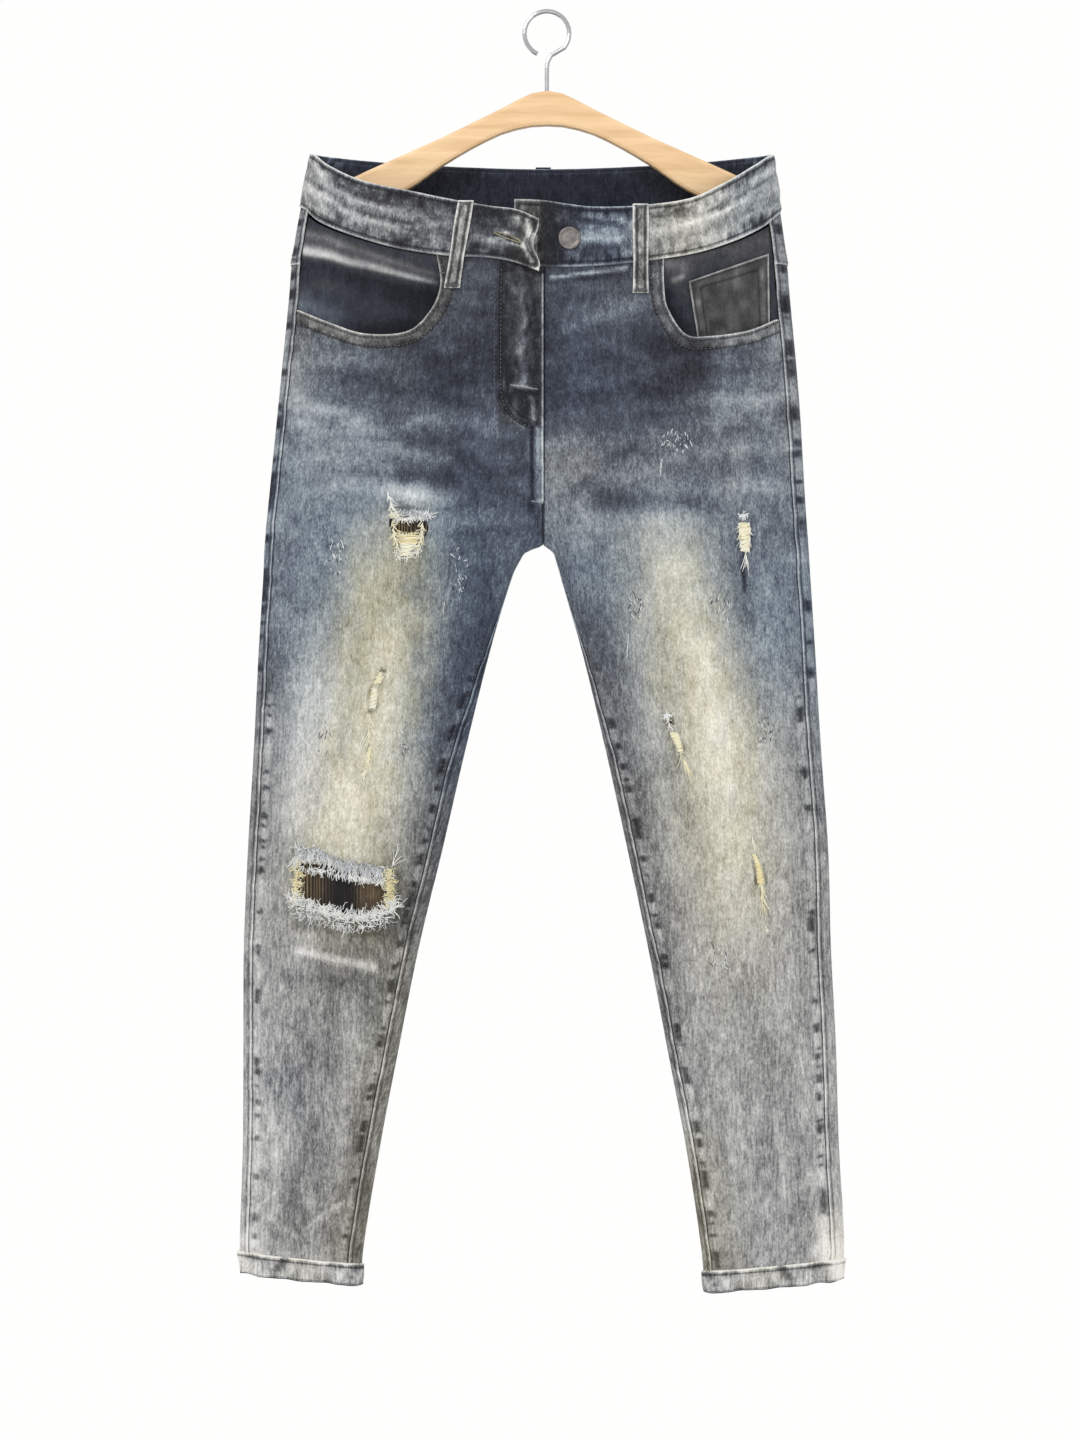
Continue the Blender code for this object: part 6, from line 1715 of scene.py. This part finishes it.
def fray_strands(rows, rungs, chance):
    """Loose yarns along torn edges and the bared cross yarns of slits: points, radius and tint."""
    steps = 5
    xs, zs, lifts, thick, tints = [], [], [], [], []
    for path, count, short, long, spread, heading, fan, curl, root, tip, lift, radius in rows:
        line = curve_through(path, 8)
        reach = np.concatenate([[0.0], np.cumsum(np.hypot(*np.diff(line, axis=0).T))])
        at = chance.uniform(0, reach[-1], count)
        x = np.interp(at, reach, line[:, 0]) + chance.normal(0, spread, count) * 0.5
        z = np.interp(at, reach, line[:, 1]) + chance.normal(0, spread, count) * 0.5
        clump = 2 * pi * at / CLUMP
        way = np.radians(heading + chance.normal(0, fan, count) * 0.6) - 0.34 * np.sin(clump) * (fan < 40)
        bend = chance.normal(0, curl, count) / steps
        step = chance.uniform(short, long, count) * (1 + 0.22 * np.cos(clump) * (fan < 40)) / (steps - 1)
        height = chance.uniform(0.3, 1.0, count) * lift
        shade = chance.normal(0, 0.06, count)
        for i in range(steps):
            t = i / (steps - 1)
            xs.append(x.copy()), zs.append(z.copy())
            lifts.append(height * (0.15 + 0.85 * np.sin(pi * (0.12 + 0.66 * t))))
            thick.append(radius * (1 - 0.45 * t) * (0.8 + 0.4 * (shade > 0)))
            tints.append(np.clip(root + (tip - root) * t + shade, 0, 1))
            way = way + bend + chance.normal(0, 0.16 * curl, count)
            x, z = x + step * np.cos(way), z + step * np.sin(way)
    counts = [row[1] for row in rows]
    strands, place = [], 0
    for count in counts:
        block = slice(place, place + steps)
        bx, bz = np.array(xs[block]), np.array(zs[block])
        spots = either_front(bx, bz, np.array(lifts[block]))
        strands += [(spots[:, i], np.array(thick[block])[:, i], np.array(tints[block])[:, i]) for i in range(count)]
        place += steps
    for path, wide, narrow, tint, lift in rungs:
        line = curve_through(path, 10)
        reach = np.concatenate([[0.0], np.cumsum(np.hypot(*np.diff(line, axis=0).T))])
        count = int(reach[-1] / RUNG_STEP)
        for i in range(count):
            at = reach[-1] * (i + 0.5) / count
            x, z = np.interp(at, reach, line[:, 0]), np.interp(at, reach, line[:, 1])
            half = (wide + (narrow - wide) * i / count) / 2 * chance.uniform(0.86, 1.08)
            t = np.linspace(-1, 1, 5)
            slant = chance.normal(0, 0.00025)
            puff = lift * (0.35 + 0.65 * np.sin(pi * (i + 0.5) / count) ** 0.5) * np.sqrt(np.clip(1.02 - t * t, 0, 1))
            spots = either_front(x + half * t, z + slant * t + 0.0003 * np.cos(2 * t + i), puff - 0.0003)
            strands.append((spots, np.full(5, RUNG_RADIUS), np.full(5, np.clip(tint + chance.normal(0, 0.05), 0, 1))))
    return strands


def pick_strands(chance):
    """Short picked yarns and their tails: points, radius and tint."""
    strands = []
    for x0, z0, wide, tall, count, tail in PICKS:
        x, z = x0 + chance.uniform(-wide, wide, count), z0 + chance.uniform(-tall, tall, count)
        inside = ((x - x0) / wide) ** 2 + ((z - z0) / tall) ** 2 < 1.1
        for px, pz in zip(x[inside], z[inside]):
            long, way = chance.uniform(0.0013, 0.0042), radians(chance.normal(-88, 26))
            t = np.linspace(-0.5, 0.5, 4)
            # About a third are near-black strands lying flat, as painted shadows among the pale picks
            dark = chance.random() < 0.34
            spots = either_front(px + long * cos(way) * t, pz + long * sin(way) * t,
                                 (0.0001 if dark else 0.0006) * np.cos(pi * t) + 0.0001)
            strands.append((spots, np.full(4, 0.00032 if dark else chance.uniform(0.00022, 0.00037)),
                            np.full(4, 0.0 if dark else chance.uniform(0.32, 0.52))))
        if tail:
            tx, tz, long = tail
            for k in range(3):
                t = np.linspace(0, 1, 5)
                spots = either_front(tx + 0.0007 * (k - 1) + 0.0006 * np.sin(3 * t + k),
                                     tz - long * t * chance.uniform(0.6, 1), 0.0005 + 0 * t)
                strands.append((spots, np.full(5, 0.00018), np.full(5, 0.42)))
    return strands


def yarn_tint(tree):
    """A yarn's tint, uneven along it."""
    uneven = math_of(tree, "MULTIPLY_ADD", clouds_of(tree, Scale=1400.0), 0.16, -0.08)
    return math_of(tree, "ADD", attribute_of(tree, "tint"), uneven)


yarn = coloured("frayed cotton yarn", yarn_tint, [
    (0.0, (0.05, 0.06, 0.09)), (0.50, (0.92, 0.94, 0.94)), (0.78, (0.90, 0.86, 0.64)), (1.0, (0.86, 0.74, 0.38)),
    (1.0, (1.0, 1.0, 1.0))], Roughness=0.9, Specular_IOR_Level=0.2)
yarns = yarn_group()
chance = np.random.default_rng(7)
for place, rows in FRAYS.items():
    strands = fray_strands(rows, RUNGS.get(place, []), chance)
    baked(f"frays_{place}", yarn_mesh(f"frays_{place}", strands), yarns, Round_Sides=4, Yarn_Material=yarn)
baked("picked_yarns", yarn_mesh("picked_yarns", pick_strands(chance)), yarns, Round_Sides=4, Yarn_Material=yarn)

# ---------------------------------------------------------------- topstitching
# Rows of dark lockstitch along the waistband, pockets, fly, yokes, loops and hems. Each
# stitch is a short bead pressed into the cloth.
STITCH = 0.0024
STITCH_STEP = 0.0034


def stitch_group():
    """Beads set end to end along edges, lying flat on the direction stored in 'out'."""
    group, start, end = make_group("row of stitches", [
        ("Geometry", "Geometry", None), ("Stitch Step", "Float", STITCH_STEP), ("Stitch Length", "Float", STITCH),
        ("Thread Width", "Float", 0.00055), ("Thread Material", "Material", None)],
        [("Geometry", "Geometry")], "GeometryNodeTree")
    path = add_node(group, "GeometryNodeMeshToCurve", {"Mesh": start.outputs["Geometry"]})
    spaced = add_node(group, "GeometryNodeResampleCurve", {"Curve": path.outputs["Curve"]})
    if hasattr(spaced, "mode"):
        spaced.mode = "LENGTH"
    group.links.new(start.outputs["Stitch Step"], spaced.inputs["Length"])
    tangent = add_node(group, "GeometryNodeInputTangent")
    out = add_node(group, "GeometryNodeInputNamedAttribute", {"Name": "out"}, data_type="FLOAT_VECTOR")
    along = add_node(group, "FunctionNodeAlignRotationToVector", {"Vector": tangent.outputs["Tangent"]}, axis="X")
    flat = add_node(group, "FunctionNodeAlignRotationToVector", {
        "Rotation": along.outputs["Rotation"], "Vector": out.outputs["Attribute"]}, axis="Z", pivot_axis="X")
    size = add_node(group, "ShaderNodeCombineXYZ", {
        0: start.outputs["Stitch Length"], 1: start.outputs["Thread Width"], 2: start.outputs["Thread Width"]})
    bead = add_node(group, "GeometryNodeMeshUVSphere", {"Segments": 5, "Rings": 3, "Radius": 0.5})
    turned = add_node(group, "GeometryNodeTransform", {
        "Geometry": bead.outputs["Mesh"], "Rotation": (0.0, radians(90), 0.0)})
    place = add_node(group, "GeometryNodeInstanceOnPoints", {
        "Points": spaced.outputs["Curve"], "Instance": turned.outputs["Geometry"],
        "Rotation": flat.outputs["Rotation"], "Scale": size.outputs["Vector"]})
    return dressed(group, place.outputs["Instances"], start.outputs["Thread Material"], end)


def row_mesh(name, rows):
    """Loose edges of rows of points with their outward directions."""
    mesh = bpy.data.meshes.new(name)
    edges, first = [], 0
    for points, _ in rows:
        edges += [(first + i, first + i + 1) for i in range(len(points) - 1)]
        first += len(points)
    mesh.from_pydata(np.concatenate([points for points, _ in rows]).tolist(), edges, [])
    layer = mesh.attributes.new("out", "FLOAT_VECTOR", "POINT")
    layer.data.foreach_set("vector", np.concatenate([out for _, out in rows]).astype(np.float32).reshape(-1))
    return mesh


def thread_material(name, dark, light):
    """Spun thread between two colours."""
    return coloured(name, lambda tree: clouds_of(tree, Scale=500.0), [(0.35, dark), (0.65, light)], Roughness=0.6)


def shifted(path, off):
    """A flat line moved sideways by an amount."""
    line = np.array(path)
    way = np.gradient(line, axis=0)
    way /= np.linalg.norm(way, axis=1, keepdims=True)
    return line + off * np.stack([-way[:, 1], way[:, 0]], -1)


def front_row(side, line, rise):
    """Points of a row of stitches on a front, and the directions facing out."""
    spot, out = front_spot(side, line[:, 0], line[:, 1], rise)
    return spot, out


SUNK = 0.00012
stitches = stitch_group()
dark_thread = thread_material("dark indigo thread", (0.018, 0.020, 0.030), (0.060, 0.066, 0.090))
grey_thread = thread_material("grey blue thread", (0.075, 0.080, 0.095), (0.200, 0.205, 0.215))

front_rows = []
for side in SIDES:
    mouth = curve_through(MOUTH[side], 10)
    for off in (0.0026, 0.0100):
        line = shifted(mouth, INWARD[side] * off)
        front_rows.append(front_row(side, line[1:-1], 0.0003 + SUNK))
    z = np.linspace(-0.450, ANKLE - 0.006, 260)
    inset = INSEAM_INSET[side] * ease(z, *INSEAM_TURN)
    x = ring(side, z)[1] - INWARD[side] * (inset + 0.0035)
    front_rows.append(front_row(side, np.stack([x, z], -1), SUNK))
for off in (0.0, -0.0052):
    front_rows.append(front_row("right", shifted(curve_through(FLY_LINE, 6), off)[:-2], 0.0004 + SUNK))
z = np.linspace(-0.348, -0.4290, 40)
for x in (-0.0060, -0.0100):
    front_rows.append(front_row("right", np.stack([x + 0.0012 * ease(z, -0.35, -0.43), z], -1), SUNK))
baked("front_stitching", row_mesh("front_stitching", front_rows), stitches, Thread_Material=grey_thread)

back_rows = []
for side in SIDES:
    z = np.linspace(-0.205, -0.436, 90)
    for off in (0.0024, 0.0072):
        x = CENTRE - INWARD[side] * off + 0 * z
        if side == "right":
            back_rows.append(cloth_spot(side, angle_at(side, x, z), z, 0.0006 + 0 * z))
    share = np.linspace(0.09, 0.985, 130)
    for off in (0.0024, 0.0085):
        z = yoke_line(share) + off
        start, finish = outseam_angle(side, z), back_end(side, z)
        angle = np.where(share < FOLD_SHARE, 0.0, finish * (share - FOLD_SHARE) / (1 - FOLD_SHARE))
        back_rows.append(cloth_spot(side, angle, z, 0.0009 * hump(off, 0.010) + SUNK + 0 * z))
    for inset in (0.022, 0.070):
        edge = []
        for u0, v0, u1, v1 in ((inset, 0, inset, 1 - inset), (inset, 1 - inset, 0.5, 1 - inset * 0.8),
                               (0.5, 1 - inset * 0.8, 1 - inset, 1 - inset), (1 - inset, 1 - inset, 1 - inset, 0)):
            t = np.linspace(0, 1, 30)
            edge.append(np.stack([u0 + (u1 - u0) * t, v0 + (v1 - v0) * t], -1))
        u, v = np.concatenate(edge).T
        x, z = pocket_point(side, u, v)
        back_rows.append(cloth_spot(side, angle_at(side, x, z), z, pocket_rise(u, v) + SUNK))
    t = np.linspace(0.03, 0.97, 40)
    for v in (0.020, 0.085):
        x, z = pocket_point(side, t, v + 0 * t)
        back_rows.append(cloth_spot(side, angle_at(side, x, z), z, pocket_rise(t, v + 0 * t) + SUNK))
baked("back_stitching", row_mesh("back_stitching", back_rows), stitches, Thread_Material=grey_thread)

trim_rows = []
turn = np.interp(np.linspace(0.004, band_runs[-1] - 0.004, 420), band_runs, band_turns_fine)
for height in (0.075, 0.925):
    trim_rows.append(band_place(turn, height + 0 * turn, 0.0012 + SUNK + 0 * turn))
t = np.linspace(0.08, 0.92, 14)
trim_rows.append(band_place(268.2 + 0 * t, t, 0.0012 + SUNK + 0 * t))
for name, _, face, top, bottom in LOOPS:
    v = np.linspace(0.03, 0.97, 40)
    for u in (-0.60, 0.60):
        trim_rows.append(loop_place(top, bottom, face, u + 0 * v, v, SUNK))
for side in SIDES:
    turn = np.linspace(-pi + 0.05, pi - 0.05, 200)
    z = hem_line(side, x_at(side, turn, np.array(ANKLE)), 0.0) + HEM_HEIGHT * 0.80
    spot, out = cloth_spot(side, turn, z, 0.0016 + 0 * z)
    trim_rows.append((spot, out))
for brim in (0.0024, 0.0088):
    u0, u1, v0 = brim / COIN_WIDE, 1 - brim / COIN_WIDE, brim / COIN_TALL
    t = np.linspace(0, 1, 40)
    down = v0 + (0.98 - v0) * t
    for us, vs in ((u0 + 0 * t, down), (u0 + (u1 - u0) * t, v0 + 0 * t), (u1 + 0 * t, down)):
        x, z = between(COIN_CORNERS, us, vs)
        trim_rows.append(facing_spot("left", x, z, coin_rise(us, vs) + SUNK))
baked("trim_stitching", row_mesh("trim_stitching", trim_rows), stitches, Thread_Material=dark_thread)

# ---------------------------------------------------------------- bar tacks, buttonhole, zip teeth
# Close short stitches bind the ends of the loops, pockets and fly in grey thread, and go round
# the buttonhole in faded yellow thread. The zip's dull metal teeth are pressed onto its tape.
light_thread = thread_material("worn grey thread", (0.30, 0.30, 0.29), (0.55, 0.54, 0.50))
gold_thread = thread_material("faded yellow thread", (0.22, 0.20, 0.11), (0.46, 0.42, 0.27))
tack_rows = []
for name, _, face, top, bottom in LOOPS:
    u = np.linspace(-0.85, 0.85, 12)
    for v in (0.025, 0.968):
        tack_rows.append(loop_place(top, bottom, face, u, v + 0 * u, 0.0002))
for side in SIDES:
    for end in (0, -1):
        x0, z0 = MOUTH[side][end]
        t = np.linspace(0, 1, 8)
        line = np.stack([x0 + 0 * t, z0 - 0.003 - 0.009 * t], -1)
        if end == 0:
            line = np.stack([x0 + INWARD[side] * (0.003 + 0.008 * t), z0 - 0.014 + 0 * t], -1)
        tack_rows.append(front_row(side, line, 0.0006))
    for u in (0.0, 1.0):
        v = np.linspace(0.0, 0.085, 8)
        x, z = pocket_point(side, u + 0 * v, v)
        tack_rows.append(cloth_spot(side, angle_at(side, x, z), z, pocket_rise(u + 0 * v, v) + 0.0002))
baked("bar_tacks", row_mesh("bar_tacks", tack_rows), stitches, Stitch_Step=0.0010, Stitch_Length=0.0013,
      Thread_Width=0.0011, Thread_Material=grey_thread)
fly_tacks = [front_row("right", np.stack([x0 + (x1 - x0) * t, z0 + (z1 - z0) * t], -1), 0.0012)
             for t in [np.linspace(0, 1, 14)] for x0, z0, x1, z1 in
             ((-0.0285, -0.3095, -0.0080, -0.3130), (-0.0120, -0.4040, -0.0040, -0.4044))]
baked("fly_tacks", row_mesh("fly_tacks", fly_tacks), stitches, Stitch_Step=0.0011, Stitch_Length=0.0014,
      Thread_Width=0.0008, Thread_Material=light_thread)

end_turns = np.linspace(235.0, 269.0, 200)
end_across = band_skin(end_turns, 0.5)[0][:, 0]
t = np.linspace(0, 2 * pi, 60)
x = -0.0310 + 0.0118 * np.cos(t)
turn = np.interp(x, end_across, end_turns)
level = -0.1895 - 0.36 * (x + 0.0310) + 0.0016 * np.sin(t)
level = (level - table_read(WAIST, turn, 2)) / (table_read(WAIST, turn, 1) - table_read(WAIST, turn, 2))
baked("buttonhole", row_mesh("buttonhole", [band_place(turn, level, 0.0014 + 0 * t)]), stitches,
      Stitch_Step=0.0009, Stitch_Length=0.0012, Thread_Width=0.0012, Thread_Material=gold_thread)

zip_metal, _, _ = new_material("dull zip metal", Base_Color=(0.30, 0.22, 0.12, 1), Metallic=0.9, Roughness=0.38)
z = np.linspace(fly_top - 0.006, -0.330, 80)
tooth_rows = []
for off, lower in ((-0.0008, 0.0), (0.0008, 0.0012)):
    x = CENTRE - 0.005 + off + 0 * z
    spot, out = front_spot("right", np.minimum(x, CENTRE - 1e-4), z - lower, -0.0024)
    tooth_rows.append((spot, out))
baked("zip_teeth", row_mesh("zip_teeth", tooth_rows), stitches, "zip_metal", Stitch_Step=0.0024,
      Stitch_Length=0.0014, Thread_Width=0.0016, Thread_Material=zip_metal)
